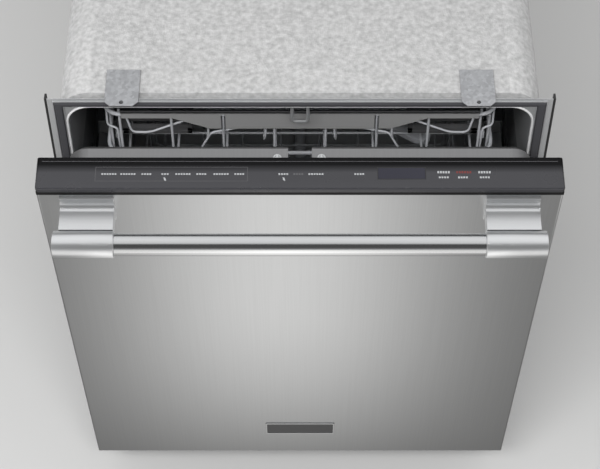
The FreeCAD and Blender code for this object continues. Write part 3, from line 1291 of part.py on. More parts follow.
def tines(row_y, floor, height, count, pitch):
    pins = []
    for i in range(count):
        x = (i - (count - 1) / 2) * pitch
        pins.append(rod((x, row_y, floor), (x, row_y, floor + height), RACK_WIRE, RACK_SIDES))
    return pins


def tine_bar(row_y, floor):
    """The wire across the rack that a row of tines is welded to."""
    reach = RACK_HALF_WIDTH - RACK_BEND
    z = floor + RACK_WIRE
    return rod((-reach, row_y, z), (reach, row_y, z), RACK_WIRE, RACK_SIDES)


def lower_rack():
    floor = LOWER_FLOOR
    front_top = floor + LOWER_RACK_FRONT_HEIGHT
    side_top = floor + LOWER_RACK_SIDE
    wires = wire_basket(LOWER_RACK_FRONT, LOWER_RACK_REAR, floor, front_top, side_top, side_top,
                        LOWER_ACROSS_COUNT, LOWER_ALONG_COUNT)
    wires += rim_loop(LOWER_RACK_FRONT, LOWER_RACK_REAR, front_top - RIM_WIRE, RACK_BEND)
    wires += rim_loop(LOWER_RACK_FRONT, LOWER_RACK_REAR, floor + LOWER_RACK_SIDE / 3, RACK_BEND)
    tine_floor = floor + 3 * RACK_WIRE
    for row_y in TINE_ROW_Y:
        wires.append(tine_bar(row_y, tine_floor))
        wires += tines(row_y, tine_floor + 2 * RACK_WIRE, TINE_HEIGHT, TINE_COUNT, TINE_PITCH)
    wires += fold_ears()
    wires += wheel_axles()
    return Part.makeCompound(wires)


def fold_axis_z():
    return LOWER_FLOOR + 3 * RACK_WIRE + SHELF_BARREL_RADIUS + SEAT_GAP


def fold_ears():
    """The two clips on the rack's floor wires that the folding tine row turns in."""
    z = fold_axis_z()
    reach = SHELF_BARREL_RADIUS
    floor = LOWER_FLOOR + 3 * RACK_WIRE
    inner = fold_half_length()
    ear = box(inner, inner + TINE_PIVOT, FOLD_ROW_Y - reach, FOLD_ROW_Y + reach, floor, z + reach)
    foot = box(inner - FOLD_FOOT_LENGTH, inner + TINE_PIVOT, FOLD_ROW_Y - reach, FOLD_ROW_Y + reach,
               floor, floor + SHEET)
    bore = cylinder(TINE_PIVOT_RADIUS + RUNNING_GAP, 3 * TINE_PIVOT,
                    V(inner - TINE_PIVOT, FOLD_ROW_Y, z), X_AXIS)
    clip = fused([ear, foot]).cut(bore)
    return [clip, mirrored(clip)]


def fold_half_length():
    return TINE_PITCH * (TINE_COUNT - 1) / 2 + TINE_PITCH / 3


def tine_row():
    z = fold_axis_z()
    half = fold_half_length() - SEAT_GAP
    pieces = [rod((-half, FOLD_ROW_Y, z), (half, FOLD_ROW_Y, z), RACK_WIRE, RACK_SIDES)]
    for start in (-half - TINE_PIVOT, half):
        pieces.append(cylinder(TINE_PIVOT_RADIUS, TINE_PIVOT, V(start, FOLD_ROW_Y, z), X_AXIS))
    pieces += tines(FOLD_ROW_Y, z + RACK_WIRE, TINE_HEIGHT, TINE_COUNT, TINE_PITCH)
    return Part.makeCompound(pieces)


def wheel_places():
    half = HALF_LEDGE + LEDGE_WIDTH / 2
    return [(side * half, y) for side in (-1, 1)
            for y in (LOWER_RACK_FRONT + WHEEL_INSET, LOWER_RACK_REAR - WHEEL_INSET)]


def wheel_axles():
    """Hangers from the lower rim wire to each wheel, with the axle stub."""
    parts = []
    for x, y in wheel_places():
        side = 1 if x > 0 else -1
        inner_face = abs(x) - WHEEL_WIDTH / 2 - WHEEL_GAP
        plate_low = RACK_HALF_WIDTH + RACK_WIRE + 2 * RIM_WIRE
        top = LOWER_FLOOR + LOWER_RACK_SIDE / 3 + RIM_WIRE
        hanger = box(plate_low, inner_face, y - HANGER_HALF_WIDTH, y + HANGER_HALF_WIDTH,
                     WHEEL_Z - AXLE_RADIUS * 2, top)
        axle = round_bar(AXLE_RADIUS, WHEEL_WIDTH + WHEEL_GAP + OVERCUT, V(inner_face, y, WHEEL_Z),
                         X_AXIS, TUBE_SIDES)
        for piece in (hanger, axle):
            parts.append(piece if side > 0 else mirrored(piece))
    return parts


def rack_wheel(x, y):
    start = V(x - WHEEL_WIDTH / 2, y, WHEEL_Z)
    wheel = round_bar(WHEEL_RADIUS, WHEEL_WIDTH, start, X_AXIS)
    return wheel.cut(round_hole(AXLE_RADIUS + RUNNING_GAP, WHEEL_WIDTH, start, X_AXIS, TUBE_SIDES))


def basket_low():
    return LOWER_FLOOR + 3 * RACK_WIRE + SEAT_GAP


def cutlery_basket():
    half = BASKET_WIDTH / 2
    front = LOWER_RACK_FRONT + BASKET_BEHIND_FRONT
    rear = front + BASKET_DEPTH
    low = basket_low()
    top = low + BASKET_HEIGHT
    basket = box(-half, half, front, rear, low, top)
    pitch = (BASKET_WIDTH - BASKET_WALL) / BASKET_CELL_COUNT
    for i in range(BASKET_CELL_COUNT):
        left = -half + BASKET_WALL + i * pitch
        basket = basket.cut(box(left, left + pitch - BASKET_WALL, front + BASKET_WALL, rear - BASKET_WALL,
                                low + BASKET_WALL, top + OVERCUT))
    slot_pitch = BASKET_WIDTH / BASKET_SLOT_COUNT
    slots = []
    for i in range(BASKET_SLOT_COUNT):
        centre = -half + (i + 0.5) * slot_pitch
        slots.append(box(centre - slot_pitch / 4, centre + slot_pitch / 4, front - OVERCUT, rear + OVERCUT,
                         low + 4 * BASKET_WALL, top - 6 * BASKET_WALL))
    for slot in slots:
        basket = basket.cut(slot)
    return basket


def upper_rack():
    front_top = UPPER_RIM - TRIM_SIDE_HEIGHT
    wires = wire_basket(UPPER_RACK_FRONT, UPPER_RACK_REAR, UPPER_FLOOR, front_top, UPPER_RIM, UPPER_RIM,
                        UPPER_ACROSS_COUNT, UPPER_ALONG_COUNT)
    wires += rim_loop(UPPER_RACK_FRONT, UPPER_RACK_REAR, front_top - RIM_WIRE, RACK_BEND)
    wires += rim_loop(UPPER_RACK_FRONT, UPPER_RACK_REAR, RAIL_Z + RAIL_HEIGHT, RACK_BEND)
    tine_floor = UPPER_FLOOR + 3 * RACK_WIRE
    for row_y in UPPER_TINE_ROWS:
        wires.append(tine_bar(row_y, tine_floor))
        wires += tines(row_y, tine_floor + 2 * RACK_WIRE, UPPER_TINE_HEIGHT, TINE_COUNT, TINE_PITCH)
    wires += shelf_pins()
    return Part.makeCompound(wires)


def shelf_pins():
    """The pin along each side that a cup shelf turns on, held by a block at each end."""
    pieces = []
    start = UPPER_RACK_FRONT + SHELF_FRONT
    reach = SHELF_BARREL_RADIUS
    for end in (start - SHELF_BLOCK - SEAT_GAP, start + SHELF_LENGTH + SEAT_GAP):
        pieces.append(box(SHELF_HINGE_X - reach, RACK_HALF_WIDTH - RACK_WIRE, end, end + SHELF_BLOCK,
                          SHELF_Z - reach, SHELF_Z + reach))
    pieces.append(cylinder(SHELF_PIN_RADIUS, SHELF_LENGTH + 2 * SEAT_GAP,
                           V(SHELF_HINGE_X, start - SEAT_GAP, SHELF_Z), Y_AXIS))
    return pieces + [mirrored(piece) for piece in pieces]


def cup_shelf():
    """A louvred shelf that folds up against the rack's side."""
    start = UPPER_RACK_FRONT + SHELF_FRONT
    end = start + SHELF_LENGTH
    outer = SHELF_HINGE_X
    inner = outer - SHELF_WIDTH
    low = SHELF_Z - SHELF_THICKNESS / 2
    high = SHELF_Z + SHELF_THICKNESS / 2
    frame = box(inner, outer, start, end, low, high)
    pitch = SHELF_LENGTH / SHELF_SLAT_COUNT
    slots = []
    for i in range(SHELF_SLAT_COUNT):
        slot_low = start + (i + 0.25) * pitch
        slots.append(box(inner + RACK_BEND / 2, outer - RACK_BEND, slot_low, slot_low + pitch / 2,
                         low - OVERCUT, high + OVERCUT))
    for slot in slots:
        frame = frame.cut(slot)
    barrel = round_bar(SHELF_BARREL_RADIUS, SHELF_LENGTH, V(outer, start, SHELF_Z), Y_AXIS, TUBE_SIDES)
    bore = cylinder(SHELF_PIN_RADIUS + RUNNING_GAP, SHELF_LENGTH, V(outer, start, SHELF_Z), Y_AXIS)
    return fused([frame, barrel]).cut(bore)


def rack_trim():
    """The plate along the upper rack's front, deeper in the middle, with a rolled top edge."""
    rear = UPPER_RACK_FRONT - RACK_WIRE - 2 * RIM_WIRE
    front = rear - TRIM_THICKNESS
    top = UPPER_RIM + TRIM_RISE
    half = [(TRIM_HALF_WIDTH, top), (TRIM_HALF_WIDTH, top - TRIM_SIDE_HEIGHT),
            (TRIM_SLOPE_END, top - TRIM_SIDE_HEIGHT), (TRIM_CENTRE_HALF, top - TRIM_HEIGHT)]
    plate = plate_xz(half + [(-x, z) for x, z in reversed(half)], front, rear)
    for x in (-TRIM_SLOT_X, TRIM_SLOT_X):
        plate = plate.cut(box(x - TRIM_SLOT_WIDTH / 2, x + TRIM_SLOT_WIDTH / 2, front - OVERCUT,
                              rear + OVERCUT, top - TRIM_HEIGHT - OVERCUT, top - TRIM_SLOT_TOP_DROP))
    bead = rod((-TRIM_HALF_WIDTH, front, top), (TRIM_HALF_WIDTH, front, top), TRIM_BEAD_RADIUS, TUBE_SIDES)
    return fused([plate, bead])


def rail_channel(outer_x, depth, height, front, length, sheet):
    """A channel rail whose open side faces the middle of the tub."""
    inner_x = outer_x - depth
    half = height / 2
    body = box(inner_x, outer_x, front, front + length, RAIL_Z - half, RAIL_Z + half)
    room = box(inner_x - OVERCUT, outer_x - sheet, front - OVERCUT, front + length + OVERCUT,
               RAIL_Z - half + sheet, RAIL_Z + half - sheet)
    return body.cut(room)


def rail_outer():
    return rail_channel(HALF_CAVITY, RAIL_DEPTH, RAIL_HEIGHT, RAIL_FRONT, RAIL_LENGTH, RAIL_SHEET)


def middle_height():
    return RAIL_HEIGHT - 2 * RAIL_SHEET - 2 * RAIL_GAP


def rail_middle():
    outer_x = HALF_CAVITY - RAIL_SHEET - RAIL_GAP
    return rail_channel(outer_x, RAIL_DEPTH, middle_height(), RAIL_FRONT, MIDDLE_LENGTH, RAIL_SHEET)


def rail_inner():
    """The inner rail with the two hangers that carry the rack's side wires."""
    outer_x = HALF_CAVITY - 2 * (RAIL_SHEET + RAIL_GAP)
    height = middle_height() - 2 * RAIL_SHEET - 2 * RAIL_GAP
    front = UPPER_RACK_FRONT
    rail = rail_channel(outer_x, RAIL_DEPTH, height, front, INNER_LENGTH, RAIL_SHEET)
    inner_x = outer_x - RAIL_DEPTH
    touch = RACK_HALF_WIDTH + RACK_WIRE
    hangers = []
    for share in (0.15, 0.75):
        y = front + share * INNER_LENGTH
        hangers.append(box(touch, inner_x + RAIL_SHEET, y, y + 2 * RAIL_HEIGHT, RAIL_Z - height / 2,
                           RAIL_Z + height / 2))
    return fused([rail] + hangers)


# The whole part

def placed_in_cabinet(shape):
    return shape.copy()


def placed_on_door(shape):
    turned_shape = shape.copy()
    turned_shape.rotate(HINGE, X_AXIS, AJAR_DEGREES)
    return turned_shape


def rolled_out(ratio):
    def placed(shape):
        moved = shape.copy()
        moved.translate(V(0, -ratio * AJAR, 0))
        return moved
    return placed


placed_upper = rolled_out(UPPER_RATIO)
placed_middle = rolled_out(UPPER_RATIO / 2)
placed_lower = rolled_out(LOWER_RATIO)


def save(node, shape, place):
    placed = place(shape)
    placed.translate(V(0, -origin_shift(), 0))
    placed.exportStep("parts/" + node + ".step")


def save_pair(node, shape, place):
    save(node + "_right", shape, place)
    save(node + "_left", mirrored(shape), place)


def save_cabinet():
    save("base_frame", base_frame(), placed_in_cabinet)
    save("tub", tub(), placed_in_cabinet)
    save("tub_gasket", tub_gasket(), placed_in_cabinet)
    save("edge_trim", edge_trim(), placed_in_cabinet)
    save("insulation_blanket", insulation_blanket(), placed_in_cabinet)
    save("latch_strike", latch_strike(), placed_in_cabinet)
    save("toe_kick", toe_kick(), placed_in_cabinet)
    save("sump", sump(), placed_in_cabinet)
    save("filter_plate", filter_plate(), placed_in_cabinet)
    save("filter_cup", filter_cup(), placed_in_cabinet)
    save("heater_element", heater_element(), placed_in_cabinet)
    save("float_cap", float_cap(), placed_in_cabinet)
    save("riser_tube", riser_tube(), placed_in_cabinet)
    save("circulation_pump", circulation_pump(), placed_in_cabinet)
    save("drain_pump", drain_pump(), placed_in_cabinet)
    save("inlet_valve", inlet_valve(), placed_in_cabinet)
    save("junction_box", junction_box(), placed_in_cabinet)
    save("lower_spray_arm", lower_spray_arm(), placed_in_cabinet)
    save_pair("mount_bracket", mount_bracket(), placed_in_cabinet)
    save_pair("hinge_cassette", hinge_cassette(), placed_in_cabinet)
    save_pair("rail_outer", rail_outer(), placed_in_cabinet)
    names = ("foot_front_left", "foot_front_right", "foot_rear_left", "foot_rear_right")
    for name, (x, y) in zip(names, foot_places()):
        save(name, levelling_foot(x, y), placed_in_cabinet)


def save_door():
    save("door_panel", door_panel(), placed_on_door)
    save("door_liner", door_liner(), placed_on_door)
    save("door_mat", door_mat(), placed_on_door)
    save("console", console(), placed_on_door)
    save("display_window", display_window(), placed_on_door)
    save("latch_housing", latch_housing(), placed_on_door)
    save("latch_hook", latch_hook(), placed_on_door)
    save("handle_bar", handle_bar(), placed_on_door)
    save("dispenser", dispenser(), placed_on_door)
    save("dispenser_lid", dispenser_lid(), placed_on_door)
    save("rinse_cap", rinse_cap(), placed_on_door)
    save_pair("handle_post", handle_post(), placed_on_door)
    save_pair("hinge_arm", hinge_arm(), placed_on_door)


def save_racks():
    save("upper_rack", upper_rack(), placed_upper)
    save("rack_trim", rack_trim(), placed_upper)
    save("upper_feed", upper_feed(), placed_upper)
    save("upper_spray_arm", upper_spray_arm(), placed_upper)
    save_pair("rail_inner", rail_inner(), placed_upper)
    save_pair("cup_shelf", cup_shelf(), placed_upper)
    save_pair("rail_middle", rail_middle(), placed_middle)
    save("lower_rack", lower_rack(), placed_lower)
    save("tine_row", tine_row(), placed_lower)
    save("cutlery_basket", cutlery_basket(), placed_lower)
    names = ("wheel_front_left", "wheel_rear_left", "wheel_front_right", "wheel_rear_right")
    for name, (x, y) in zip(names, wheel_places()):
        save(name, rack_wheel(x, y), placed_lower)


def main():
    os.makedirs("parts", exist_ok=True)
    save_cabinet()
    save_door()
    save_racks()


if __name__ == "__main__":
    main()
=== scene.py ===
"""Looks of a built-in dishwasher with its door ajar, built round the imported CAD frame."""
import json
import math
from collections import namedtuple

import bmesh
import bpy
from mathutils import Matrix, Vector


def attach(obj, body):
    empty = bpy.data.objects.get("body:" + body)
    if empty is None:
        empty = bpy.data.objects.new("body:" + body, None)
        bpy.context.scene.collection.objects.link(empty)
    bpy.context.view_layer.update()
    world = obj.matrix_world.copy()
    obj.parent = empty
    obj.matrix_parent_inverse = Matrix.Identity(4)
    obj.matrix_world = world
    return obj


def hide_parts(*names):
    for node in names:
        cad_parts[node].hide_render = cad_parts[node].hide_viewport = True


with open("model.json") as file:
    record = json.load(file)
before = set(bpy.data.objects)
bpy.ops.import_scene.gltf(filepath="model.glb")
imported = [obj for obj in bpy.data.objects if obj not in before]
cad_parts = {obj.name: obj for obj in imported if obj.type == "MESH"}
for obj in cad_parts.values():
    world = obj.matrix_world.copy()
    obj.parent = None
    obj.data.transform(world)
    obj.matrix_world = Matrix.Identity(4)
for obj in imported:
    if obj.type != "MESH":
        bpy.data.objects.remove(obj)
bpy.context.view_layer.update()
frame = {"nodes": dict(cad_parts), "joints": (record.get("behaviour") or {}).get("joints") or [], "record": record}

# Sizes are in millimetres, in cabinet coordinates: y = 0 is the tub's front face, with the door shut
# and the racks home. The functions below turn them into metres in the row's frame, at rest.
MM = 0.001
JOINTS = {joint["name"]: joint for joint in frame["joints"]}
HINGE_Y = -14.0
HINGE_Z = 134.0
AJAR = -math.radians(JOINTS["door_hinge"]["range_deg"][0])
SHIFT = HINGE_Y - JOINTS["door_hinge"]["pos_m"][1] / MM

# The racks follow the door, by so many metres per radian.
FOLLOWS = {row["joint"]: row["ratio"] for row in frame["record"]["behaviour"]["couplings"]}
UPPER_ROLL = FOLLOWS["upper_rack_slide"] / MM * AJAR
LOWER_ROLL = FOLLOWS["lower_rack_slide"] / MM * AJAR

HALF_DOOR = 301.5
PANEL_FRONT = 50.0
PANEL_TOP = 842.0
CONSOLE_TOP = 850.0
OPENING_TOP = 835.0
HANDLE_Y = -103.0
HANDLE_Z = 812.0


def in_cabinet(x, y, z):
    return Vector((x, y - SHIFT, z)) * MM


def on_door(x, y, z):
    reach = y - HINGE_Y
    rise = z - HINGE_Z
    return in_cabinet(x, HINGE_Y + reach * math.cos(AJAR) - rise * math.sin(AJAR),
                      HINGE_Z + reach * math.sin(AJAR) + rise * math.cos(AJAR))


def on_upper(x, y, z):
    return in_cabinet(x, y - UPPER_ROLL, z)


def on_lower(x, y, z):
    return in_cabinet(x, y - LOWER_ROLL, z)


# Materials

class Nodes:
    """A node tree, with short calls to add, link and reckon."""

    def __init__(self, tree):
        self.tree = tree

    def add(self, kind, **settings):
        node = self.tree.nodes.new(kind)
        for key, value in settings.items():
            setattr(node, key, value)
        return node

    def link(self, source, target):
        self.tree.links.new(source, target)

    def maths(self, operation, *terms):
        """A maths node. Each term is a number or another node's output."""
        node = self.add("ShaderNodeMath", operation=operation)
        for socket, term in zip(node.inputs, terms):
            if isinstance(term, (int, float)):
                socket.default_value = term
            else:
                self.link(term, socket)
        return node.outputs[0]

    def blend(self, factor, first, second):
        """A mix of two colours. Each is (red, green, blue) or another node's output."""
        mix = self.add("ShaderNodeMix", data_type="RGBA")
        for socket, colour in ((mix.inputs[6], first), (mix.inputs[7], second)):
            if isinstance(colour, tuple):
                socket.default_value = (*colour, 1)
            else:
                self.link(colour, socket)
        self.link(factor, mix.inputs[0])
        return mix.outputs[2]


class Net(Nodes):
    """A material's node tree, with short calls for the nodes that the finishes share."""

    def __init__(self, name):
        self.material = bpy.data.materials.new(name)
        self.material.use_nodes = True
        super().__init__(self.material.node_tree)
        self.shader = self.tree.nodes["Principled BSDF"]
        self.coords = self.add("ShaderNodeTexCoord").outputs["Object"]

    def stretched(self, stretch):
        mapping = self.add("ShaderNodeMapping")
        mapping.inputs["Scale"].default_value = stretch
        self.link(self.coords, mapping.inputs["Vector"])
        return mapping.outputs["Vector"]

    def noise(self, scale, stretch=(1, 1, 1), detail=3.0):
        noise = self.add("ShaderNodeTexNoise")
        noise.inputs["Scale"].default_value = scale
        noise.inputs["Detail"].default_value = detail
        self.link(self.stretched(stretch), noise.inputs["Vector"])
        return noise.outputs["Fac"]

    def cells(self, scale, randomness=1.0):
        cells = self.add("ShaderNodeTexVoronoi")
        cells.inputs["Scale"].default_value = scale
        cells.inputs["Randomness"].default_value = randomness
        self.link(self.coords, cells.inputs["Vector"])
        return cells

    def spread(self, source, low, high, start=0.3, end=0.7):
        node = self.add("ShaderNodeMapRange")
        limits = {"From Min": start, "From Max": end, "To Min": low, "To Max": high}
        for socket, value in limits.items():
            node.inputs[socket].default_value = value
        self.link(source, node.inputs["Value"])
        return node.outputs["Result"]

    def colour(self, factor, dark, light):
        self.link(self.blend(factor, dark, light), self.shader.inputs["Base Color"])

    def roughness(self, factor, low, high):
        self.link(self.spread(factor, low, high), self.shader.inputs["Roughness"])

    def bump(self, height, strength, distance):
        bump = self.add("ShaderNodeBump")
        bump.inputs["Strength"].default_value = strength
        bump.inputs["Distance"].default_value = distance
        self.link(height, bump.inputs["Height"])
        self.link(bump.outputs["Normal"], self.shader.inputs["Normal"])

    def metallic(self):
        self.shader.inputs["Metallic"].default_value = 1.0


def shade(colour, factor):
    return tuple(min(channel * factor, 1.0) for channel in colour)


def steel(name, colour, rough, grain, strength):
    """Brushed or satin steel. Grain is how much finer the marks are along X, Y and Z."""
    net = Net(name)
    net.metallic()
    marks = net.noise(1.0, grain, 4.0)
    cloud = net.noise(5.0)
    net.colour(marks, shade(colour, 0.94), shade(colour, 1.05))
    net.link(net.spread(cloud, rough - 0.02, rough + 0.03, 0.1, 0.9),
             net.shader.inputs["Roughness"])
    net.bump(marks, strength, 0.0002)
    return net.material


def satin(name, colour, rough, metal, grain):
    """A dull brushed face that scatters part of the light, between bare steel and a coating."""
    net = Net(name)
    net.shader.inputs["Metallic"].default_value = metal
    marks = net.noise(1.0, grain, 4.0)
    net.colour(marks, shade(colour, 0.93), shade(colour, 1.06))
    net.link(net.spread(net.noise(6.0), rough - 0.03, rough + 0.04, 0.1, 0.9),
             net.shader.inputs["Roughness"])
    net.bump(marks, 0.02, 0.0002)
    return net.material


def zinc(name, colour):
    net = Net(name)
    net.metallic()
    cells = net.cells(260.0)
    net.colour(cells.outputs["Color"], shade(colour, 0.8), shade(colour, 1.12))
    net.roughness(net.noise(40.0), 0.34, 0.5)
    net.bump(net.noise(900.0), 0.08, 0.0002)
    return net.material


def plastic(name, colour, rough, grain, strength):
    """Moulded plastic with a fine spark-eroded grain."""
    net = Net(name)
    net.colour(net.noise(14.0), shade(colour, 0.9), shade(colour, 1.1))
    net.roughness(net.noise(30.0), rough - 0.04, rough + 0.05)
    net.bump(net.noise(grain), strength, 0.0003)
    return net.material


def console_plastic_painted_reflection(name, colour):
    """Black moulding, satin in front, with a darker band along its rear edge: painted reflection and shade, its
    colour lightened in front and darkened along the rear.
    """
    net = Net(name)
    split = net.add("ShaderNodeSeparateXYZ")
    net.link(net.coords, split.inputs[0])
    painted_reflection_start = on_door(0, -30.0, CONSOLE_TOP).y
    painted_reflection_end = on_door(0, -19.0, CONSOLE_TOP).y
    # Painted reflection and shade: the base colour runs from a quarter of the slot's colour along the rear band to
    # 2.2 times it in front.
    front = net.spread(split.outputs["Y"], 1.0, 0.0, painted_reflection_start, painted_reflection_end)
    net.colour(front, shade(colour, 0.25), shade(colour, 2.2))
    net.link(net.spread(front, 0.1, 0.5, 0.0, 1.0), net.shader.inputs["Specular IOR Level"])
    net.roughness(net.noise(30.0), 0.26, 0.34)
    net.bump(net.noise(1500.0), 0.03, 0.0003)
    return net.material


def window_glass(name, colour):
    net = Net(name)
    net.colour(net.noise(6.0), shade(colour, 0.8), shade(colour, 1.2))
    net.roughness(net.noise(60.0), 0.08, 0.12)
    net.shader.inputs["Specular IOR Level"].default_value = 0.14
    return net.material


def felt(name, colour):
    """Matted fibres with lighter and darker flecks."""
    net = Net(name)
    fibres = net.noise(700.0, (1, 1, 1), 6.0)
    flecks = net.noise(160.0, (1, 1, 1), 5.0)
    net.colour(flecks, shade(colour, 0.55), shade(colour, 1.7))
    net.roughness(fibres, 0.85, 0.98)
    net.bump(fibres, 0.6, 0.0015)
    net.shader.inputs["Sheen Weight"].default_value = 0.25
    return net.material


def coated_wire(name, colour):
    net = Net(name)
    net.colour(net.noise(90.0), shade(colour, 0.9), shade(colour, 1.08))
    net.roughness(net.noise(200.0), 0.38, 0.5)
    net.bump(net.noise(1400.0), 0.08, 0.0002)
    net.shader.inputs["Coat Weight"].default_value = 0.15
    return net.material


def painted(name, colour):
    net = Net(name)
    net.colour(net.noise(25.0), shade(colour, 0.85), shade(colour, 1.15))
    net.roughness(net.noise(80.0), 0.42, 0.56)
    net.bump(net.noise(1100.0), 0.12, 0.0003)
    return net.material


def perforated(name, colour):
    """Satin steel with rows of small round holes, for the filter."""
    net = Net(name)
    net.metallic()
    cells = net.cells(420.0, 0.0)
    rim = net.spread(cells.outputs["Distance"], 0.0, 1.0, 0.24, 0.34)
    net.colour(rim, (0.015, 0.015, 0.016), colour)
    net.link(net.spread(rim, 0.7, 0.3, 0.0, 1.0), net.shader.inputs["Roughness"])
    net.bump(rim, 0.5, 0.0006)
    return net.material


def print_ink(name, colour):
    """Pale screen print, worn a little thin in places."""
    net = Net(name)
    net.colour(net.noise(900.0), shade(colour, 0.8), colour)
    net.roughness(net.noise(400.0), 0.45, 0.6)
    return net.material


def record_colour(slot):
    for material in frame["record"]["materials"]:
        if material["slot"] == slot:
            return tuple(material["base_color"])
    raise KeyError(slot)


def make_finishes():
    """A finish for each slot of the record, in the slot's own colour."""
    kinds = {
        "door_steel": (steel, 0.305, (900, 6, 6), 0.012),
        "handle_steel": (steel, 0.17, (8, 900, 900), 0.012),
        "tub_steel": (steel, 0.30, (500, 500, 8), 0.02),
        "trim_steel": (steel, 0.24, (6, 700, 700), 0.015),
        "zinc_steel": (zinc,),
        "console_black": (console_plastic_painted_reflection,),
        "window_black": (window_glass,),
        "black_trim": (plastic, 0.55, 900.0, 0.15),
        "seal_rubber": (plastic, 0.72, 700.0, 0.12),
        "felt": (felt,),
        "kick_paint": (painted,),
        "base_plastic": (plastic, 0.6, 600.0, 0.2),
        "wash_plastic": (plastic, 0.48, 800.0, 0.12),
        "pump_plastic": (plastic, 0.55, 700.0, 0.15),
        "rack_coat": (coated_wire,),
        "basket_plastic": (plastic, 0.46, 900.0, 0.12),
        "dispenser_plastic": (plastic, 0.42, 900.0, 0.12),
    }
    return {slot: kind(slot, record_colour(slot), *values)
            for slot, (kind, *values) in kinds.items()}


# The width of the rounded edges of most pieces, in metres.
SMALL_ROUND = 0.0005

FINISH = make_finishes()
# Painted shade: the liner's steel is darkened to stand in for the shade of a worktop over the door.
LINER_STEEL_PAINTED_SHADE = satin("liner_steel_painted_shade", (0.26, 0.26, 0.265), 0.42, 0.8, (500, 8, 8))
TUB_SATIN = satin("tub_satin", record_colour("tub_steel"), 0.32, 0.7, (500, 500, 8))
RACK_SATIN = satin("rack_satin", (0.31, 0.31, 0.31), 0.45, 0.2, (8, 700, 700))
FLANGE_STEEL = satin("flange_steel", (0.75, 0.75, 0.755), 0.34, 0.3, (500, 8, 500))
END_STEEL = satin("handle_end_steel", shade(record_colour("handle_steel"), 1.1), 0.31, 0.88,
                  (8, 900, 900))
PALE_FELT = felt("pale_felt", (0.40, 0.40, 0.40))
SHELF_GREY = plastic("shelf_grey", (0.07, 0.07, 0.072), 0.45, 900.0, 0.1)
# Near-black plastic for the strips that paint the shadow in the handle's seams and under the console.
SHADOW_BLACK = plastic("painted_shadow_black", (0.006, 0.006, 0.006), 0.5, 900.0, 0.05)
SHADOW_BLACK.node_tree.nodes["Principled BSDF"].inputs["Specular IOR Level"].default_value = 0.2
PLATE_FIELD = satin("plate_field", (0.075, 0.075, 0.077), 0.5, 0.4, (8, 900, 900))
FILTER_MESH = perforated("filter_mesh", record_colour("tub_steel"))
INK = print_ink("console_print", (0.40, 0.41, 0.42))
INK_DIM = print_ink("console_print_dim", (0.10, 0.10, 0.105))
INK_RED = print_ink("console_print_red", (0.16, 0.03, 0.027))


def dress_nodes():
    """Every CAD node gets its slot's finish, welded and with slightly rounded edges."""
    rounds = {"door_panel": 0.0011, "console": 0.0008, "door_liner": 0.0012,
              "tub_gasket": 0.0012, "insulation_blanket": 0.003, "dispenser": 0.0012,
              "dispenser_lid": 0.001, "rinse_cap": 0.001, "edge_trim": 0.0006,
              "cutlery_basket": 0.0006, "lower_spray_arm": 0.0012, "upper_spray_arm": 0.0012,
              "toe_kick": 0.0006, "base_frame": 0.001, "display_window": 0.0003}
    merged = ("mount_bracket_left", "mount_bracket_right", "console", "door_panel", "toe_kick",
              "tub")
    own = {"door_liner": LINER_STEEL_PAINTED_SHADE, "tub": TUB_SATIN, "filter_plate": FILTER_MESH,
           "insulation_blanket": PALE_FELT}
    for subpart in frame["record"]["subparts"]:
        name = subpart["node"]
        node = frame["nodes"][name]
        node.data.materials.clear()
        node.data.materials.append(own.get(name, FINISH[subpart["material_slot"]]))
        weld = node.modifiers.new("weld", "WELD")
        weld.merge_threshold = 0.00001
        if name in merged:
            flat = node.modifiers.new("flat_faces", "DECIMATE")
            flat.decimate_type = "DISSOLVE"
            flat.angle_limit = math.radians(0.6)
        soften(node, rounds.get(name, SMALL_ROUND))


def soften(piece, width):
    """Rounds a piece's sharp edges, by a width in metres."""
    bevel = piece.modifiers.new("round", "BEVEL")
    bevel.width = width
    bevel.segments = 2
    bevel.limit_method = "ANGLE"
    bevel.angle_limit = math.radians(34)
    bevel.harden_normals = True
    bevel.use_clamp_overlap = True


# Pieces

SMOOTH_DEGREES = 35
BEND_STEPS = 6


def settle(piece, body, slot, finish=None):
    """Links a new piece to the scene, gives it its finish and makes it ride on its body."""
    bpy.context.scene.collection.objects.link(piece)
    piece.data.materials.append(finish or FINISH[slot])
    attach(piece, body)
    return piece


def solid(name, verts, faces, place, body, slot, finish=None):
    mesh = bpy.data.meshes.new(name)
    mesh.from_pydata([place(*corner) for corner in verts], [], faces)
    shape = bmesh.new()
    shape.from_mesh(mesh)
    bmesh.ops.recalc_face_normals(shape, faces=shape.faces)
    shape.to_mesh(mesh)
    shape.free()
    mesh.shade_smooth()
    mesh.set_sharp_from_angle(angle=math.radians(SMOOTH_DEGREES))
    return settle(bpy.data.objects.new(name, mesh), body, slot, finish)


def block_parts(low, high):
    (x0, y0, z0), (x1, y1, z1) = low, high
    verts = [(x, y, z) for x in (x0, x1) for y in (y0, y1) for z in (z0, z1)]
    faces = [(0, 1, 3, 2), (4, 6, 7, 5), (0, 4, 5, 1), (2, 3, 7, 6), (0, 2, 6, 4), (1, 5, 7, 3)]
    return verts, faces


def joined(parts):
    """One list of corners and one of faces from several."""
    verts = []
    faces = []
    for part_verts, part_faces in parts:
        start = len(verts)
        verts += part_verts
        faces += [tuple(start + i for i in face) for face in part_faces]
    return verts, faces


def prism_parts(outline, low, high, axis="x"):
    """An outline of (a, b) pairs drawn out along an axis: x takes (y, z), y takes (x, z)."""
    def corner(a, b, reach):
        return (reach, a, b) if axis == "x" else (a, reach, b)
    count = len(outline)
    verts = [corner(a, b, low) for a, b in outline] + [corner(a, b, high) for a, b in outline]
    faces = [tuple(range(count)), tuple(range(count, 2 * count))]
    for i in range(count):
        after = (i + 1) % count
        faces.append((i, after, count + after, count + i))
    return verts, faces


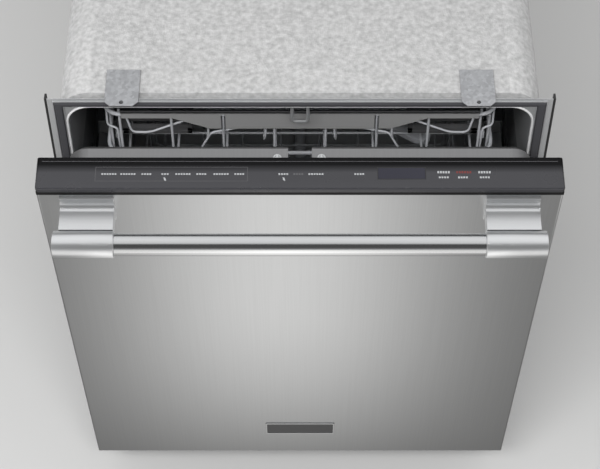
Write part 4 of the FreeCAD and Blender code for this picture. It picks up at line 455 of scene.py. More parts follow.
def lathe_parts(profile, centre, axis, steps):
    """A closed outline of (radius, distance) points turned about an axis through centre."""
    def corner(radius, distance, k):
        turn = 2 * math.pi * k / steps
        a = radius * math.cos(turn)
        b = radius * math.sin(turn)
        offset = {"x": (distance, a, b), "y": (a, distance, b), "z": (a, b, distance)}[axis]
        return tuple(c + o for c, o in zip(centre, offset))
    verts = []
    for radius, distance in profile:
        verts += [corner(radius, distance, k) for k in range(steps)]
    faces = []
    count = len(profile)
    for i in range(count):
        after = (i + 1) % count
        if profile[i][0] < 1e-6 and profile[after][0] < 1e-6:
            continue
        for k in range(steps):
            turn = (k + 1) % steps
            faces.append((i * steps + k, i * steps + turn, after * steps + turn, after * steps + k))
    return verts, faces


def on_side(parts, side):
    """Corners and faces that are drawn for the right, mirrored when the side is left."""
    verts, faces = parts
    sign = 1 if side == "right" else -1
    return [(sign * x, y, z) for x, y, z in verts], faces


def weld_piece(piece):
    """Merges corners that coincide, such as those on a lathe's axis."""
    shape = bmesh.new()
    shape.from_mesh(piece.data)
    bmesh.ops.remove_doubles(shape, verts=shape.verts, dist=1e-6)
    bmesh.ops.recalc_face_normals(shape, faces=shape.faces)
    shape.to_mesh(piece.data)
    shape.free()
    return piece


def arc(centre, radius, start, end, steps):
    """Points (a, b) along an arc, with angles in degrees from +a towards +b."""
    points = []
    for i in range(steps + 1):
        turn = math.radians(start + (end - start) * i / steps)
        points.append((centre[0] + radius * math.cos(turn), centre[1] + radius * math.sin(turn)))
    return points


def rounded_frame(half, low, high, corner, steps):
    """A rectangle of (a, b) points with rounded corners, from -half to half and low to high."""
    right, bottom, top = half - corner, low + corner, high - corner
    points = []
    for centre, start in (((right, top), 0), ((-right, top), 90), ((-right, bottom), 180),
                          ((right, bottom), 270)):
        points += arc(centre, corner, start, start + 90, steps)
    return points


def evenly(low, high, count):
    """Values spaced alike from low to high, both of them included."""
    return [low + (high - low) * i / (count - 1) for i in range(count)]


def bent(points, bend):
    """A line of points with each corner replaced by a smooth curve that starts bend before it."""
    corners = [Vector(point) for point in points]
    line = [corners[0]]
    for before, here, after in zip(corners, corners[1:], corners[2:]):
        reach = min(bend, (here - before).length / 2, (after - here).length / 2)
        start = here + (before - here).normalized() * reach
        end = here + (after - here).normalized() * reach
        for i in range(BEND_STEPS + 1):
            share = i / BEND_STEPS
            line.append(start * (1 - share) ** 2 + here * 2 * share * (1 - share)
                        + end * share ** 2)
    line.append(corners[-1])
    return line


Wire = namedtuple("Wire", "points radius closed tip", defaults=(False, False))


def wires(name, lines, place, body, slot, sides=3, finish=None):
    """Round wires as one curve. A tip is a rounded end on a wire's last point."""
    curve = bpy.data.curves.new(name, "CURVE")
    curve.dimensions = "3D"
    curve.bevel_depth = MM
    curve.bevel_resolution = sides
    curve.use_fill_caps = True
    for points, radius, closed, tip in lines:
        sized = [(point, radius) for point in points]
        if tip:
            end, before = Vector(points[-1]), Vector(points[-2])
            way = (end - before).normalized()
            sized[-1] = (end - way * radius * 0.8, radius)
            sized += [(end - way * radius * 0.3, radius * 0.8), (end, radius * 0.25)]
        spline = curve.splines.new("POLY")
        spline.points.add(len(sized) - 1)
        spline.use_cyclic_u = closed
        for spot, (point, size) in zip(spline.points, sized):
            spot.co = (*place(*point), 1)
            spot.radius = size
        spline.use_smooth = True
    return settle(bpy.data.objects.new(name, curve), body, slot, finish)


# Door

BAR_RADIUS = 13.0
BAR_HALF = 222.7
HANDLE_STEPS = 96

END_INNER = 211.0
END_OUTER = 281.5
END_RADIUS = 15.8
BORE_RADIUS = BAR_RADIUS + 0.15
BORE_DEPTH = 11.9

ARM_INNER = 213.5
ARM_OUTER = 276.0
ARM_LOW = 785.0
ARM_HIGH = 831.0
ARM_FOOT = 3.5
FLARE_RADIUS = 9.0
FLARE_INSET = 5.5
HOLLOW_HIGH_DEGREES = 14.8
HOLLOW_LOW_DEGREES = -45.0

NECK_INSET = 6.0
NECK_REACH = 26.0
NECK_LOW = 802.5
NECK_HIGH = 813.5

# The seam between an arm and its cylinder, and the black strip that fills most of it as painted shadow.
SEAM = 1.8
SHADOW_STRIP_GAP = 0.1
SHADOW_STRIP_INSET = 0.4
SHADOW_STRIP_HIGH_DEGREES = 11.0
SHADOW_STRIP_LOW_DEGREES = -40.0


def handle_bar():
    profile = [(0, -BAR_HALF), (BAR_RADIUS, -BAR_HALF), (BAR_RADIUS, BAR_HALF), (0, BAR_HALF)]
    verts, faces = lathe_parts(profile, (0, HANDLE_Y, HANDLE_Z), "x", HANDLE_STEPS)
    bar = weld_piece(solid("handle_bar_round", verts, faces, on_door, "door", "handle_steel"))
    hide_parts("handle_bar")


def arm_outline():
    """The arm's side view: a foot, a flare on each side and a hollow that follows the cylinder."""
    foot_face = -PANEL_FRONT - ARM_FOOT
    flare_y = foot_face - FLARE_RADIUS
    outline = [(-PANEL_FRONT, ARM_LOW), (-PANEL_FRONT, ARM_HIGH), (foot_face, ARM_HIGH)]
    outline += arc((flare_y, ARM_HIGH - FLARE_INSET), FLARE_RADIUS, 0, -90, 16)
    outline += arc((HANDLE_Y, HANDLE_Z), END_RADIUS + SEAM, HOLLOW_HIGH_DEGREES,
                   HOLLOW_LOW_DEGREES, 20)
    outline += arc((flare_y, ARM_LOW + FLARE_INSET), FLARE_RADIUS, 90, 0, 16)
    outline.append((foot_face, ARM_LOW))
    return outline


def end_profile():
    """The end cylinder's section: eased rims, and the bore that takes the bar."""
    edge, shoulder, dip = 1.4, 0.4, 0.5
    bore_end = END_INNER + BORE_DEPTH
    return [(0, END_OUTER), (END_RADIUS - edge, END_OUTER),
            (END_RADIUS - shoulder, END_OUTER - dip), (END_RADIUS, END_OUTER - edge),
            (END_RADIUS, END_INNER + edge), (END_RADIUS - shoulder, END_INNER + dip),
            (END_RADIUS - edge, END_INNER), (BORE_RADIUS, END_INNER), (BORE_RADIUS, bore_end),
            (0, bore_end)]


def handle_end(side):
    """One end of the handle: the flared arm, its neck and the cylinder that holds the bar."""
    arm = prism_parts(arm_outline(), ARM_INNER, ARM_OUTER)
    neck = block_parts((ARM_INNER + NECK_INSET, HANDLE_Y, NECK_LOW),
                       (ARM_OUTER - NECK_INSET, HANDLE_Y + NECK_REACH, NECK_HIGH))
    cylinder = lathe_parts(end_profile(), (0, HANDLE_Y, HANDLE_Z), "x", HANDLE_STEPS)
    verts, faces = on_side(joined([arm, neck, cylinder]), side)
    post = solid("handle_end_" + side, verts, faces, on_door, "door", "handle_steel", END_STEEL)
    soften(weld_piece(post), 0.0007)
    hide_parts("handle_post_" + side)


def handle_seam_shadow_strips():
    """Thin black strips between each arm and its cylinder: painted shadow in the gap there."""
    centre = (HANDLE_Y, HANDLE_Z)
    outline = arc(centre, END_RADIUS + SHADOW_STRIP_GAP, SHADOW_STRIP_HIGH_DEGREES, SHADOW_STRIP_LOW_DEGREES, 12)
    outline += arc(centre, END_RADIUS + SEAM - SHADOW_STRIP_GAP, SHADOW_STRIP_LOW_DEGREES, SHADOW_STRIP_HIGH_DEGREES, 12)
    inner, outer = ARM_INNER + SHADOW_STRIP_INSET, ARM_OUTER - SHADOW_STRIP_INSET
    verts, faces = joined([prism_parts(outline, inner, outer),
                           prism_parts(outline, -outer, -inner)])
    solid("handle_seam_shadow_strips", verts, faces, on_door, "door", "black_trim", SHADOW_BLACK)


# The console's print, as thin slabs that stand a little proud of its top.
PRINT_LOW = CONSOLE_TOP - 0.03
PRINT_HIGH = PRINT_LOW + 0.08
DASH = 2.1
DASH_GAP = 0.9
FINE_LINE = 0.4

# Where each label starts and ends along the console, and the rows that they stand in.
LABEL_ROW = -32.0
LABELS = ((-226.5, -208.2), (-204.8, -187.7), (-180.8, -168.3), (-158.0, -148.9),
          (-142.1, -123.8), (-118.1, -104.4), (-98.7, -81.6), (-74.8, -63.4), (-24.6, -12.1),
          (9.6, 29.0), (62.0, 74.6))
DIM_LABEL = (-7.5, 5.0)
LEAF_ROW = -38.8
LEAVES = (-154.0, -18.4)
BUTTON_ROW = -29.5
BUTTON_MARK = 3.0
BUTTONS = ((156.7, 171.5), (203.4, 219.4))
RED_BUTTON = (178.3, 197.7)
UNDER_ROW = -36.5
UNDER_MARK = 2.4
UNDER_INSET = 1.5
UNDER_RED = (180.0, 194.0)


def bar_mark(x0, x1, y, height):
    """A short printed bar on the console, from x0 to x1 with its middle at y."""
    return block_parts((x0, y - height / 2, PRINT_LOW), (x1, y + height / 2, PRINT_HIGH))


def dashed_mark(x0, x1, y, height=DASH):
    """A row of small dashes that stands for a printed label."""
    parts = []
    x = x0
    while x + DASH <= x1 + 0.01:
        parts.append(bar_mark(x, x + DASH, y, height))
        x += DASH + DASH_GAP
    return parts


def leaf_mark(x, y):
    """A small slanted mark under a label."""
    outline = [(x - 1.6, y + 2.6), (x + 0.6, y + 1.8), (x + 1.8, y - 2.6), (x - 0.6, y - 1.6)]
    verts = [(a, b, z) for z in (PRINT_LOW, PRINT_HIGH) for a, b in outline]
    faces = [(0, 1, 2, 3), (4, 5, 6, 7), (0, 1, 5, 4), (1, 2, 6, 5), (2, 3, 7, 6), (3, 0, 4, 7)]
    return verts, faces


def label_frame():
    """The fine dim frame round the eight labels on the left."""
    left, right, front, rear = -233.5, -60.0, -41.5, -22.6
    lines = [bar_mark(left, right, y, FINE_LINE) for y in (rear, front)]
    lines += [block_parts((x, front, PRINT_LOW), (x + FINE_LINE, rear, PRINT_HIGH))
              for x in (left, right)]
    return lines


def console_marks():
    """Generic marks in place of the panel's printed words."""
    parts = []
    for start, end in LABELS:
        parts += dashed_mark(start, end, LABEL_ROW)
    parts += [leaf_mark(x, LEAF_ROW) for x in LEAVES]
    for start, end in BUTTONS:
        parts += dashed_mark(start, end, BUTTON_ROW, BUTTON_MARK)
        parts += dashed_mark(start + UNDER_INSET, end - UNDER_INSET, UNDER_ROW, UNDER_MARK)
    parts += dashed_mark(*UNDER_RED, UNDER_ROW, UNDER_MARK)
    solid("console_marks", *joined(parts), on_door, "door", "console_black", INK)
    dim = dashed_mark(*DIM_LABEL, LABEL_ROW) + label_frame()
    solid("console_marks_dim", *joined(dim), on_door, "door", "console_black", INK_DIM)
    red = dashed_mark(*RED_BUTTON, BUTTON_ROW, BUTTON_MARK)
    solid("console_mark_red", *joined(red), on_door, "door", "console_black", INK_RED)


def console_lines():
    """The fine line along the console's rear, and a black strip where console and panel meet: painted shadow of
    the gap between them.
    """
    line_half, gap_shadow_half = HALF_DOOR - 6.0, HALF_DOOR - 0.2
    line = block_parts((-line_half, -14.9, CONSOLE_TOP - 0.1),
                       (line_half, -14.4, CONSOLE_TOP + 0.08))
    solid("console_rear_line", *line, on_door, "door", "console_black", INK_DIM)
    # Painted shadow: a near-black strip stands in for the shade in the gap under the console.
    gap_shadow_strip = block_parts((-gap_shadow_half, -PANEL_FRONT - 0.8, PANEL_TOP - 7.0),
                       (gap_shadow_half, -PANEL_FRONT + 0.5, PANEL_TOP - 0.5))
    piece = solid("console_gap_shadow", *gap_shadow_strip, on_door, "door", "black_trim", SHADOW_BLACK)
    soften(piece, 0.0002)


def window_bezel():
    """A fine frame round the dark display window."""
    left, right, front, rear = 89.0, 143.0, -38.5, -23.5
    width = 0.7
    low, high = CONSOLE_TOP - 0.3, CONSOLE_TOP + 0.15
    parts = [block_parts((left - width, front - width, low), (right + width, front, high)),
             block_parts((left - width, rear, low), (right + width, rear + width, high)),
             block_parts((left - width, front, low), (left, rear, high)),
             block_parts((right, front, low), (right + width, rear, high))]
    solid("display_bezel", *joined(parts), on_door, "door", "black_trim")


def blank_plate():
    """A bare framed plate where the door's name plate would be, on the door's lower front."""
    half, low, high = 50.0, 186.0, 221.0
    rim = 2.4
    face = -PANEL_FRONT
    sunk, proud, field = face + 0.2, face - 1.6, face - 0.7
    outer = rounded_frame(half, low, high, 3.0, 5)
    inner = rounded_frame(half - rim, low + rim, high - rim, 2.0, 5)
    count = len(outer)
    verts = [(x, y, z) for y in (sunk, proud) for x, z in outer + inner]
    faces = []
    for i in range(count):
        after = (i + 1) % count
        ring = (i, after, count + after, count + i)
        faces.append(ring)
        faces.append(tuple(2 * count + k for k in ring))
        faces.append((i, after, 2 * count + after, 2 * count + i))
        faces.append((count + i, count + after, 3 * count + after, 3 * count + i))
    soften(solid("blank_plate_rim", verts, faces, on_door, "door", "trim_steel"), SMALL_ROUND)
    solid("blank_plate_field", *prism_parts(inner, field, sunk, "y"), on_door, "door",
          "trim_steel", PLATE_FIELD)


def vent_buttons():
    """Two small vent buttons in the top of the liner, one each side of the latch."""
    y, z = 5.0, 826.0
    cap = [(0, -1.0), (5.2, -1.0), (5.2, 2.6), (4.4, 3.2), (3.0, 3.2), (2.6, 2.2), (0, 2.2)]
    parts = []
    for x in (-26.5, 25.0):
        parts.append(lathe_parts(cap, (x, y, z), "z", 32))
        parts.append(block_parts((x - 1.0, y - 4.0, z + 2.0), (x + 1.0, y + 4.0, z + 3.6)))
    weld_piece(solid("liner_vent_buttons", *joined(parts), on_door, "door", "dispenser_plastic",
                     TUB_SATIN))


# Latch strike

def strike_bail():
    """The bent wire loop that the latch hook catches, on its plate under the tub's front edge."""
    half, behind = 9.5, 12.0
    bar_z, top = OPENING_TOP - 38.0, OPENING_TOP - 1.5
    loop = bent([(-half, behind, top), (-half, behind, bar_z), (half, behind, bar_z),
                 (half, behind, top)], 5.0)
    bail = wires("strike_bail", [Wire(loop, 2.1)], in_cabinet, "cabinet", "trim_steel", 6,
                 TUB_SATIN)
    low, plate_half, plate_front, plate_rear = OPENING_TOP - 2.5, 18.0, 2.2, 28.2
    plate = block_parts((-plate_half, plate_front, low), (plate_half, plate_rear, OPENING_TOP))
    rivet = [(0, -1.2), (2.2, -1.2), (2.6, 0), (0, 0)]
    rivets = [lathe_parts(rivet, (x, 21.0, low), "z", 24) for x in (-12.0, 12.0)]
    base = solid("strike_plate", *joined([plate] + rivets), in_cabinet, "cabinet", "trim_steel")
    soften(weld_piece(base), SMALL_ROUND)
    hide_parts("latch_strike")
    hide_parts("latch_strike")


# Racks

RACK_HALF = 236.0
WIRE = 2.0
DRAWN_WIRE = 1.7
THIN_WIRE = 1.4
RIM = 2.6
BEND = 12.0
ACROSS_WIRES = 7
ALONG_WIRES = 8
TINES = 10
TINE_PITCH = 36.0
TINE_PLACES = [(i - (TINES - 1) / 2) * TINE_PITCH for i in range(TINES)]


def hoop(points):
    return Wire(bent(points, BEND * 1.1), DRAWN_WIRE, tip=True)


def basket_wires(front, rear, floor, front_top, side_top):
    """The wires that run across and along a rack, each turned up at both ends."""
    half = RACK_HALF
    inset = BEND + RIM + WIRE
    lines = []
    for y in evenly(front + inset, rear - inset, ACROSS_WIRES):
        lines.append(hoop([(-half, y, side_top), (-half, y, floor), (half, y, floor),
                           (half, y, side_top)]))
    z = floor + 2 * WIRE
    reach = half - BEND - WIRE
    for x in evenly(-reach, reach, ALONG_WIRES):
        lines.append(hoop([(x, front, front_top), (x, front, z), (x, rear, z),
                           (x, rear, side_top)]))
    return lines


def rim_wire(front, rear, z):
    """The closed wire round a rack, outside the wires that it holds."""
    out = WIRE + RIM
    outline = rounded_frame(RACK_HALF + out, front - out, rear + out, BEND * 1.7, 8)
    return Wire([(x, y, z) for x, y in outline], RIM, closed=True)


def tine_lines(row_y, floor, height):
    """A fixed row of tines on the wire that carries them."""
    half = RACK_HALF - BEND
    z = floor + WIRE
    lines = [Wire([(-half, row_y, z), (half, row_y, z)], DRAWN_WIRE, tip=True)]
    for x in TINE_PLACES:
        lines.append(Wire([(x, row_y, z), (x, row_y, floor + 2 * WIRE + height)], DRAWN_WIRE,
                          tip=True))
    return lines


LOWER_FRONT = 44.0
LOWER_REAR = 504.0
LOWER_FLOOR = 204.0
LOWER_FRONT_TOP = LOWER_FLOOR + 104.0
LOWER_SIDE_TOP = LOWER_FLOOR + 128.0
LOWER_MIDDLE = LOWER_FLOOR + 128.0 / 3

FOLD_Y = 330.0
FOLD_Z = 214.8

WHEEL_X = 261.0
WHEEL_Z = 191.3
WHEEL_PLACES = {end + "_" + side: (sign * WHEEL_X, y)
                for side, sign in (("left", -1), ("right", 1))
                for end, y in (("front", 156.0), ("rear", 392.0))}


def fold_row():
    """The folding row of tines on its own bar."""
    half, pivot, height = 173.7, 1.6, 74.0
    lines = [Wire([(-half - 4, FOLD_Y, FOLD_Z), (half + 4, FOLD_Y, FOLD_Z)], pivot),
             Wire([(-half, FOLD_Y, FOLD_Z), (half, FOLD_Y, FOLD_Z)], WIRE)]
    for x in TINE_PLACES:
        lines.append(Wire([(x, FOLD_Y, FOLD_Z), (x, FOLD_Y, FOLD_Z + height)], WIRE, tip=True))
    piece = wires("tine_row_wires", lines, on_lower, "tine_row", "rack_coat")
    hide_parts("tine_row")


def wheel_hangers():
    """The plates that hang from the lower rack's sides, each with a wheel's axle."""
    inner, outer = 243.2, WHEEL_X - 6.0
    low, high = 185.3, LOWER_MIDDLE + RIM
    axle_radius, axle_length = 3.0, 11.5
    parts = []
    for x, y in WHEEL_PLACES.values():
        sign = 1 if x > 0 else -1
        outline = [(y - 9, high), (y + 9, high), (y + 9, low + 12), (y + 5, low), (y - 5, low),
                   (y - 9, low + 12)]
        parts.append(prism_parts(outline, sign * inner, sign * outer))
        end = sign * axle_length
        axle = [(0, 0), (axle_radius, 0), (axle_radius, end), (0, end)]
        parts.append(lathe_parts(axle, (sign * outer, y, WHEEL_Z), "x", 24))
    return parts


def tine_clips():
    """The two ears that the folding row's bar turns in, each on a strip of the rack's floor."""
    front, rear, low = FOLD_Y - 4.5, FOLD_Y + 4.5, LOWER_FLOOR + 6.0
    ear = [(front, low), (rear, low), (rear, low + 7.0), (FOLD_Y, low + 9.3), (front, low + 7.0)]
    parts = []
    for sign in (-1, 1):
        parts.append(prism_parts(ear, sign * 174.0, sign * 178.0))
        left, right = sorted((sign * 154, sign * 178))
        parts.append(block_parts((left, front, low), (right, rear, low + 1.2)))
    return parts


def lower_rack():
    front, rear = LOWER_FRONT, LOWER_REAR
    lines = basket_wires(front, rear, LOWER_FLOOR, LOWER_FRONT_TOP, LOWER_SIDE_TOP)
    lines.append(rim_wire(front, rear, LOWER_FRONT_TOP - RIM))
    lines.append(rim_wire(front, rear, LOWER_MIDDLE))
    for row_y in (250.0, 410.0):
        lines += tine_lines(row_y, LOWER_FLOOR + 3 * WIRE, 72.0)
    rack = wires("lower_rack_wires", lines, on_lower, "lower_rack", "rack_coat")
    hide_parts("lower_rack")
    brackets = solid("lower_rack_brackets", *joined(wheel_hangers() + tine_clips()), on_lower,
                     "lower_rack", "rack_coat")
    soften(weld_piece(brackets), 0.0006)


def wheel_spoke(y, degrees):
    """A spoke's outline on a wheel whose axle is at y."""
    turn = math.radians(degrees)
    half = 1.3
    along = (math.cos(turn), math.sin(turn))
    aside = (-along[1] * half, along[0] * half)
    return [(y + along[0] * a + aside[0] * b, WHEEL_Z + along[1] * a + aside[1] * b)
            for a, b in ((5.8, -1), (13.6, -1), (13.6, 1), (5.8, 1))]


def rack_wheels():
    """Spoked rollers with a rounded tread."""
    tread = [(17.0, -2.6), (17.0, 2.6), (16.2, 4.0), (14.6, 4.5), (13.4, 4.5), (13.0, 3.6),
             (13.0, -3.6), (13.4, -4.5), (14.6, -4.5), (16.2, -4.0)]
    hub = [(6.4, -4.5), (6.4, 4.5), (3.05, 4.5), (3.05, -4.5)]
    spoke_half = 2.6
    for name, (x, y) in WHEEL_PLACES.items():
        centre = (x, y, WHEEL_Z)
        parts = [lathe_parts(tread, centre, "x", 48), lathe_parts(hub, centre, "x", 32)]
        for degrees in range(0, 360, 60):
            parts.append(prism_parts(wheel_spoke(y, degrees), x - spoke_half, x + spoke_half))
        wheel = solid("roller_" + name, *joined(parts), on_lower, "wheel_" + name,
                      "basket_plastic")
        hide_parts("wheel_" + name)
        soften(wheel, 0.0004)


UPPER_FRONT = 71.0
UPPER_REAR = 506.0
UPPER_RIM = 783.0
UPPER_FLOOR = 643.0
UPPER_MIDDLE = 707.0
SHELF_X = 229.2
SHELF_Z = 702.0
SHELF_START = UPPER_FRONT + 34.0
SHELF_END = SHELF_START + 190.0
SHELF_WIDTH = 92.0
SLATS = 11


def front_wires():
    """The thin bent wires along the upper rack's front, the same on both sides."""
    y = UPPER_FRONT
    paths = [([(238, y + 6, 783), (238, y + 2, 752), (226, y, 750), (225, y, 700)], 8.0),
             ([(128, y, 702), (110, y, 741), (64, y, 753)], 6.0),
             ([(140, y + 4, 760), (186, y + 4, 737), (209, y + 4, 737), (215, y + 4, 769)], 7.0),
             ([(94, y - 5, 781), (94, y - 5, 745)], 0.0)]
    for x in (42, 113):
        paths.append(([(x, y - 1, 768), (x + 1, y - 1, 735), (x + 3, y + 4, 722),
                       (x + 3, y + 30, 716)], 6.0))
    lines = []
    for sign in (-1, 1):
        for path, bend in paths:
            mirrored = [(sign * across, along, up) for across, along, up in path]
            lines.append(Wire(bent(mirrored, bend), THIN_WIRE, tip=True))
    return lines


def shelf_holders():
    """The two lugs and the pin that each cup shelf turns on."""
    pin_end = SHELF_END - SHELF_START + 0.3
    pin = [(0, -0.3), (2.0, -0.3), (2.0, pin_end), (0, pin_end)]
    parts = []
    for sign in (-1, 1):
        left, right = sorted((sign * 224.7, sign * 234))
        for front in (SHELF_START - 6.3, SHELF_END + 0.3):
            parts.append(block_parts((left, front, SHELF_Z - 4.5),
                                     (right, front + 6, SHELF_Z + 4.5)))
        parts.append(lathe_parts(pin, (sign * SHELF_X, SHELF_START, SHELF_Z), "y", 24))
    holders = solid("shelf_holders", *joined(parts), on_upper, "upper_rack", "rack_coat")
    soften(weld_piece(holders), 0.0006)


def upper_rack():
    front, rear = UPPER_FRONT, UPPER_REAR
    lines = basket_wires(front, rear, UPPER_FLOOR, UPPER_RIM, UPPER_RIM)
    lines.append(rim_wire(front, rear, UPPER_RIM - RIM))
    lines.append(rim_wire(front, rear, UPPER_MIDDLE))
    for row_y in (190.0, 330.0):
        lines += tine_lines(row_y, UPPER_FLOOR + 3 * WIRE, 42.0)
    rack = wires("upper_rack_wires", lines + front_wires(), on_upper, "upper_rack", "rack_coat")
    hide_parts("upper_rack")


def rack_trim():
    """The plate along the upper rack's front: a slotted skirt under a rolled edge."""
    rear = UPPER_FRONT - 7.2
    front = rear - 2.0
    half = 219.0
    top = UPPER_RIM + 7.0
    low, wing = top - 32.0, top - 13.0
    slot_x, slot_half, tip_half = 94.0, 2.5, 1.7
    slot = [(slot_x - slot_half, low), (slot_x - slot_half, top - 7.5),
            (slot_x - tip_half, top - 6.0), (slot_x + tip_half, top - 6.0),
            (slot_x + slot_half, top - 7.5), (slot_x + slot_half, low)]
    right = slot + [(111.0, low), (156.0, wing), (half, wing), (half, top)]
    outline = right + [(-x, z) for x, z in reversed(right)]
    plate = solid("rack_trim_plate", *prism_parts(outline, front, rear, "y"), on_upper,
                  "upper_rack", "trim_steel", RACK_SATIN)
    soften(plate, SMALL_ROUND)
    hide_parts("rack_trim")
    bead = Wire([(-half, front, top), (half, front, top)], 2.6)
    roll = wires("rack_trim_roll", [bead], on_upper, "upper_rack", "trim_steel", 6)
    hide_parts("rack_trim")


def cup_shelf(side):
    """A louvred shelf: two rails, tilted slats and the barrel that it turns on."""
    start, end = SHELF_START, SHELF_END
    outer, inner = SHELF_X, SHELF_X - SHELF_WIDTH
    low, high = SHELF_Z - 2.5, SHELF_Z + 2.5
    parts = [block_parts((inner, start, low), (inner + 6, end, high)),
             block_parts((outer - 12, start, low), (outer - 3, end, high)),
             block_parts((inner, start, low), (outer - 3, start + 5, high)),
             block_parts((inner, end - 5, low), (outer - 3, end, high))]
    for y in evenly(start + 8.0, end - 8.0, SLATS):
        outline = [(y - 4.6, low), (y - 3.4, low), (y + 4.6, high - 0.2), (y + 3.4, high - 0.2)]
        parts.append(prism_parts(outline, inner + 5, outer - 10))
    barrel = [(4.5, 0), (4.5, end - start), (2.05, end - start), (2.05, 0)]
    parts.append(lathe_parts(barrel, (outer, start, SHELF_Z), "y", 32))
    shelf = solid("louvred_shelf_" + side, *on_side(joined(parts), side), on_upper,
                  "cup_shelf_" + side, "basket_plastic", SHELF_GREY)
    soften(shelf, 0.0004)
    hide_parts("cup_shelf_" + side)


# Tub

def opening_roll():
    """The rolled steel edge round the tub's opening."""
    half, top, low = 277.9, OPENING_TOP + 1.9, 190.0
    corner, front = 28.9, 0.4
    outline = [(-half, low)]
    outline += arc((corner - half, top - corner), corner, 180, 90, 10)
    outline += arc((half - corner, top - corner), corner, 90, 0, 10)
    outline.append((half, low))
    roll = Wire([(x, front, z) for x, z in outline], 1.7)
    wires("tub_opening_roll", [roll], in_cabinet, "cabinet", "tub_steel", 6, FLANGE_STEEL)


def heater():
    """The heater's ring over the tub's floor, its turned-down ends and its clips."""
    z, floor_z = 146.0, 134.0
    radius, centre_y, gap = 190.0, 270.0, 12.0
    ring = [(x, y, z) for x, y in arc((0, centre_y), radius, 90 + gap, 450 - gap, 72)]
    first, last = [(x, y, floor_z) for x, y, _ in (ring[0], ring[-1])]
    # The last end dips to the floor and comes up again, where the first one stays down.
    tube = Wire([first] + ring[:-1] + [last, ring[-1]], 4.0)
    element = wires("heater_tube", [tube], in_cabinet, "cabinet", "zinc_steel", 6)
    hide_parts("heater_element")
    clips = []
    for degrees in (200.0, 340.0):
        turn = math.radians(degrees)
        x, y = radius * math.cos(turn), centre_y + radius * math.sin(turn)
        clips.append(block_parts((x - 8, y - 1, floor_z), (x + 8, y + 1, z)))
    soften(solid("heater_clips", *joined(clips), in_cabinet, "cabinet", "zinc_steel"),
           SMALL_ROUND)


RISER_Y = 526.0
FEED_Z = UPPER_FLOOR - 12.0
FEED_CENTRE_Y = (UPPER_FRONT + UPPER_REAR) / 2
CONDUIT = 10.0
CONDUIT_SIDES = 8


def riser():
    """The round tube up the tub's rear, its clips and the head that the upper feed meets."""
    floor_z, wall_y = 147.8, 540.0
    path = bent([(0, 288.0, floor_z), (0, RISER_Y, floor_z), (0, RISER_Y, FEED_Z - 10)], 16.0)
    tube = wires("riser_conduit", [Wire(path, CONDUIT)], in_cabinet, "cabinet", "wash_plastic",
                 CONDUIT_SIDES)
    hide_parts("riser_tube")
    head = [(0, -13), (11.5, -13), (13, -11.5), (13, 11.5), (11.5, 13), (0, 13)]
    parts = [lathe_parts(head, (0, RISER_Y, FEED_Z), "z", 40),
             block_parts((-13, RISER_Y, FEED_Z - 4), (13, wall_y, FEED_Z + 4))]
    band = [(9.5, -5), (12, -5), (12, 5), (9.5, 5)]
    for z in (240.0, 430.0):
        parts.append(lathe_parts(band, (0, RISER_Y, z), "z", 40))
        parts.append(block_parts((-9, RISER_Y + 8, z - 4), (9, wall_y, z + 4)))
    clips = solid("riser_head", *joined(parts), in_cabinet, "cabinet", "wash_plastic")
    soften(weld_piece(clips), 0.0008)


def upper_feed():
    """The tube under the upper rack, from its port at the riser to the spray arm's hub."""
    port_y = RISER_Y - 13.3
    line = [(0, FEED_CENTRE_Y - 13, FEED_Z), (0, port_y - 5, FEED_Z)]
    tube = wires("upper_feed_tube", [Wire(line, CONDUIT)], on_upper, "upper_rack",
                 "wash_plastic", CONDUIT_SIDES)
    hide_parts("upper_feed")
    reach = 22.3
    hub = [(0, -reach - 5), (15, -reach - 5), (15, -reach - 2), (12, -reach - 2), (12, 0), (0, 0)]
    skirt = [(0, -10), (11.5, -10), (13, 0), (0, 0)]
    parts = [lathe_parts(hub, (0, FEED_CENTRE_Y, FEED_Z), "z", 40),
             lathe_parts(skirt, (0, port_y, FEED_Z), "y", 40)]
    piece = solid("upper_feed_hub", *joined(parts), on_upper, "upper_rack", "wash_plastic")
    soften(weld_piece(piece), 0.0006)


# Staging

def pool_of_light(net):
    """How bright the floor looks when mirrored: a pool ahead of the door, pale further out."""
    split = net.add("ShaderNodeSeparateXYZ")
    net.link(net.add("ShaderNodeNewGeometry").outputs["Position"], split.inputs[0])
    x, y = split.outputs["X"], split.outputs["Y"]
    off_centre = net.maths("ADD", x, 0.035)
    squared = net.maths("MULTIPLY", off_centre, off_centre)
    pool = net.maths("EXPONENT", net.maths("MULTIPLY", squared, -14.0))
    near = net.spread(y, 1.0, 0.0, -0.49, -0.22)
    far = net.spread(y, 0.8, 0.0, -1.3, -0.9)
    widest = net.maths("MAXIMUM", net.maths("MULTIPLY", pool, near), far)
    glow = net.spread(widest, 0.2, 1.1, 0.0, 1.0)
    return net.maths("MULTIPLY_ADD", net.maths("MULTIPLY", far, pool), 0.75, glow)


def pale_floor():
    """A pale studio floor. Shiny surfaces see a soft pool of light on it instead of its colour."""
    net = Net("studio_floor")
    net.shader.inputs["Base Color"].default_value = (0.62, 0.62, 0.615, 1)
    net.roughness(net.noise(0.6), 0.6, 0.7)
    emission = net.add("ShaderNodeEmission")
    emission.inputs["Color"].default_value = (1.0, 0.985, 0.96, 1)
    net.link(pool_of_light(net), emission.inputs["Strength"])
    mix = net.add("ShaderNodeMixShader")
    net.link(net.add("ShaderNodeLightPath").outputs["Is Glossy Ray"], mix.inputs[0])
    net.link(net.shader.outputs[0], mix.inputs[1])
    net.link(emission.outputs[0], mix.inputs[2])
    net.link(mix.outputs[0], net.tree.nodes["Material Output"].inputs["Surface"])
    mesh = bpy.data.meshes.new("studio_floor")
    reach = 14.0
    corners = [(-reach, -reach, 0), (reach, -reach, 0), (reach, reach, 0), (-reach, reach, 0)]
    mesh.from_pydata(corners, [], [(0, 1, 2, 3)])
    floor = bpy.data.objects.new("studio_floor", mesh)
    bpy.context.scene.collection.objects.link(floor)
    mesh.materials.append(net.material)


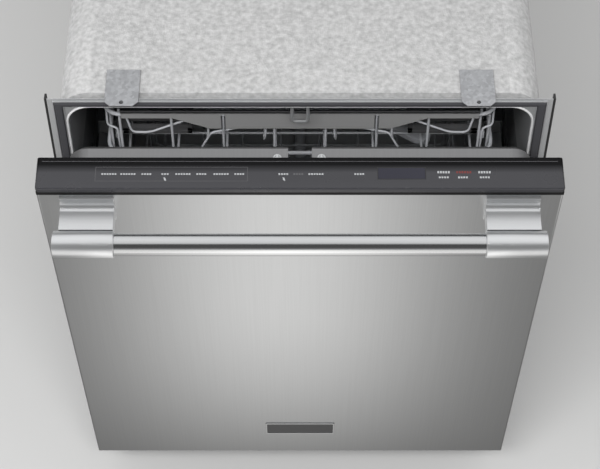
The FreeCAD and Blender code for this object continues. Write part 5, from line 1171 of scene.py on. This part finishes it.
def area_light(name, place, target, width, height, watts):
    """A soft lamp that shiny surfaces don't mirror, because they mirror the studio's walls."""
    light = bpy.data.lights.new(name, "AREA")
    light.shape = "RECTANGLE"
    light.size = width
    light.size_y = height
    light.energy = watts
    lamp = bpy.data.objects.new(name, light)
    lamp.location = place
    lamp.rotation_euler = (Vector(target) - Vector(place)).to_track_quat("-Z", "Y").to_euler()
    lamp.visible_glossy = False
    bpy.context.scene.collection.objects.link(lamp)


def studio_walls():
    """The room that the steel mirrors: a bright ceiling and a dark band behind the camera."""
    # How bright the room is at each angle in degrees: 0 is level with the door and ahead of it, 90
    # is straight up and 180 is behind the machine.
    stops = {0: 0.5, 16: 0.1, 53: 0.08, 66: 0.8, 105: 0.98, 138: 0.85, 151: 0.25, 180: 0.12}
    world = bpy.data.worlds.new("studio_world")
    bpy.context.scene.world = world
    world.use_nodes = True
    nodes = Nodes(world.node_tree)
    way = nodes.add("ShaderNodeSeparateXYZ")
    nodes.link(nodes.add("ShaderNodeTexCoord").outputs["Generated"], way.inputs[0])
    front = nodes.maths("MULTIPLY", way.outputs["Y"], -1.0)
    share = nodes.add("ShaderNodeMapRange")
    share.inputs["From Max"].default_value = math.pi
    nodes.link(nodes.maths("ARCTAN2", way.outputs["Z"], front), share.inputs["Value"])
    ramp = nodes.add("ShaderNodeValToRGB")
    elements = ramp.color_ramp.elements
    while len(elements) < len(stops):
        elements.new(0.5)
    for element, (degrees, glow) in zip(elements, stops.items()):
        element.position = degrees / 180
        element.color = (glow, glow, glow, 1)
    nodes.link(share.outputs["Result"], ramp.inputs["Fac"])
    rays = nodes.add("ShaderNodeLightPath")
    soft = nodes.blend(rays.outputs["Is Glossy Ray"], (0.5, 0.5, 0.5), ramp.outputs["Color"])
    seen = nodes.blend(rays.outputs["Is Camera Ray"], soft, (0.85, 0.85, 0.85))
    nodes.link(seen, nodes.tree.nodes["Background"].inputs["Color"])


def studio_lights():
    """Two lamps. Their places and sizes are in metres, in the row's frame."""
    area_light("key", (-0.25, -1.95, 3.05), (0.0, -0.2, 0.75), 2.0, 0.6, 88.0)
    area_light("side_fill", (-1.9, -1.5, 1.6), (0.0, -0.2, 0.5), 1.0, 1.2, 10.0)


def photo_camera():
    """The photograph's camera, solved from the sizes of the door and the tub's opening."""
    ahead, height, degrees_down = 1349.85, 2349.15, 52.53
    data = bpy.data.cameras.new("photo_camera")
    data.sensor_width = 36.0
    data.lens = 102.58
    data.clip_start = 0.05
    data.clip_end = 60.0
    camera = bpy.data.objects.new("photo_camera", data)
    camera.location = in_cabinet(0.0, -ahead, height)
    camera.rotation_euler = (math.radians(90.0 - degrees_down), 0.0, 0.0)
    bpy.context.scene.collection.objects.link(camera)
    bpy.context.scene.camera = camera
    bpy.context.scene.view_settings.view_transform = "Standard"


dress_nodes()
handle_bar()
handle_end("left")
handle_end("right")
handle_seam_shadow_strips()
console_marks()
console_lines()
window_bezel()
blank_plate()
vent_buttons()
strike_bail()
upper_rack()
shelf_holders()
rack_trim()
cup_shelf("left")
cup_shelf("right")
lower_rack()
fold_row()
rack_wheels()
heater()
riser()
upper_feed()
opening_roll()
pale_floor()
studio_walls()
studio_lights()
photo_camera()
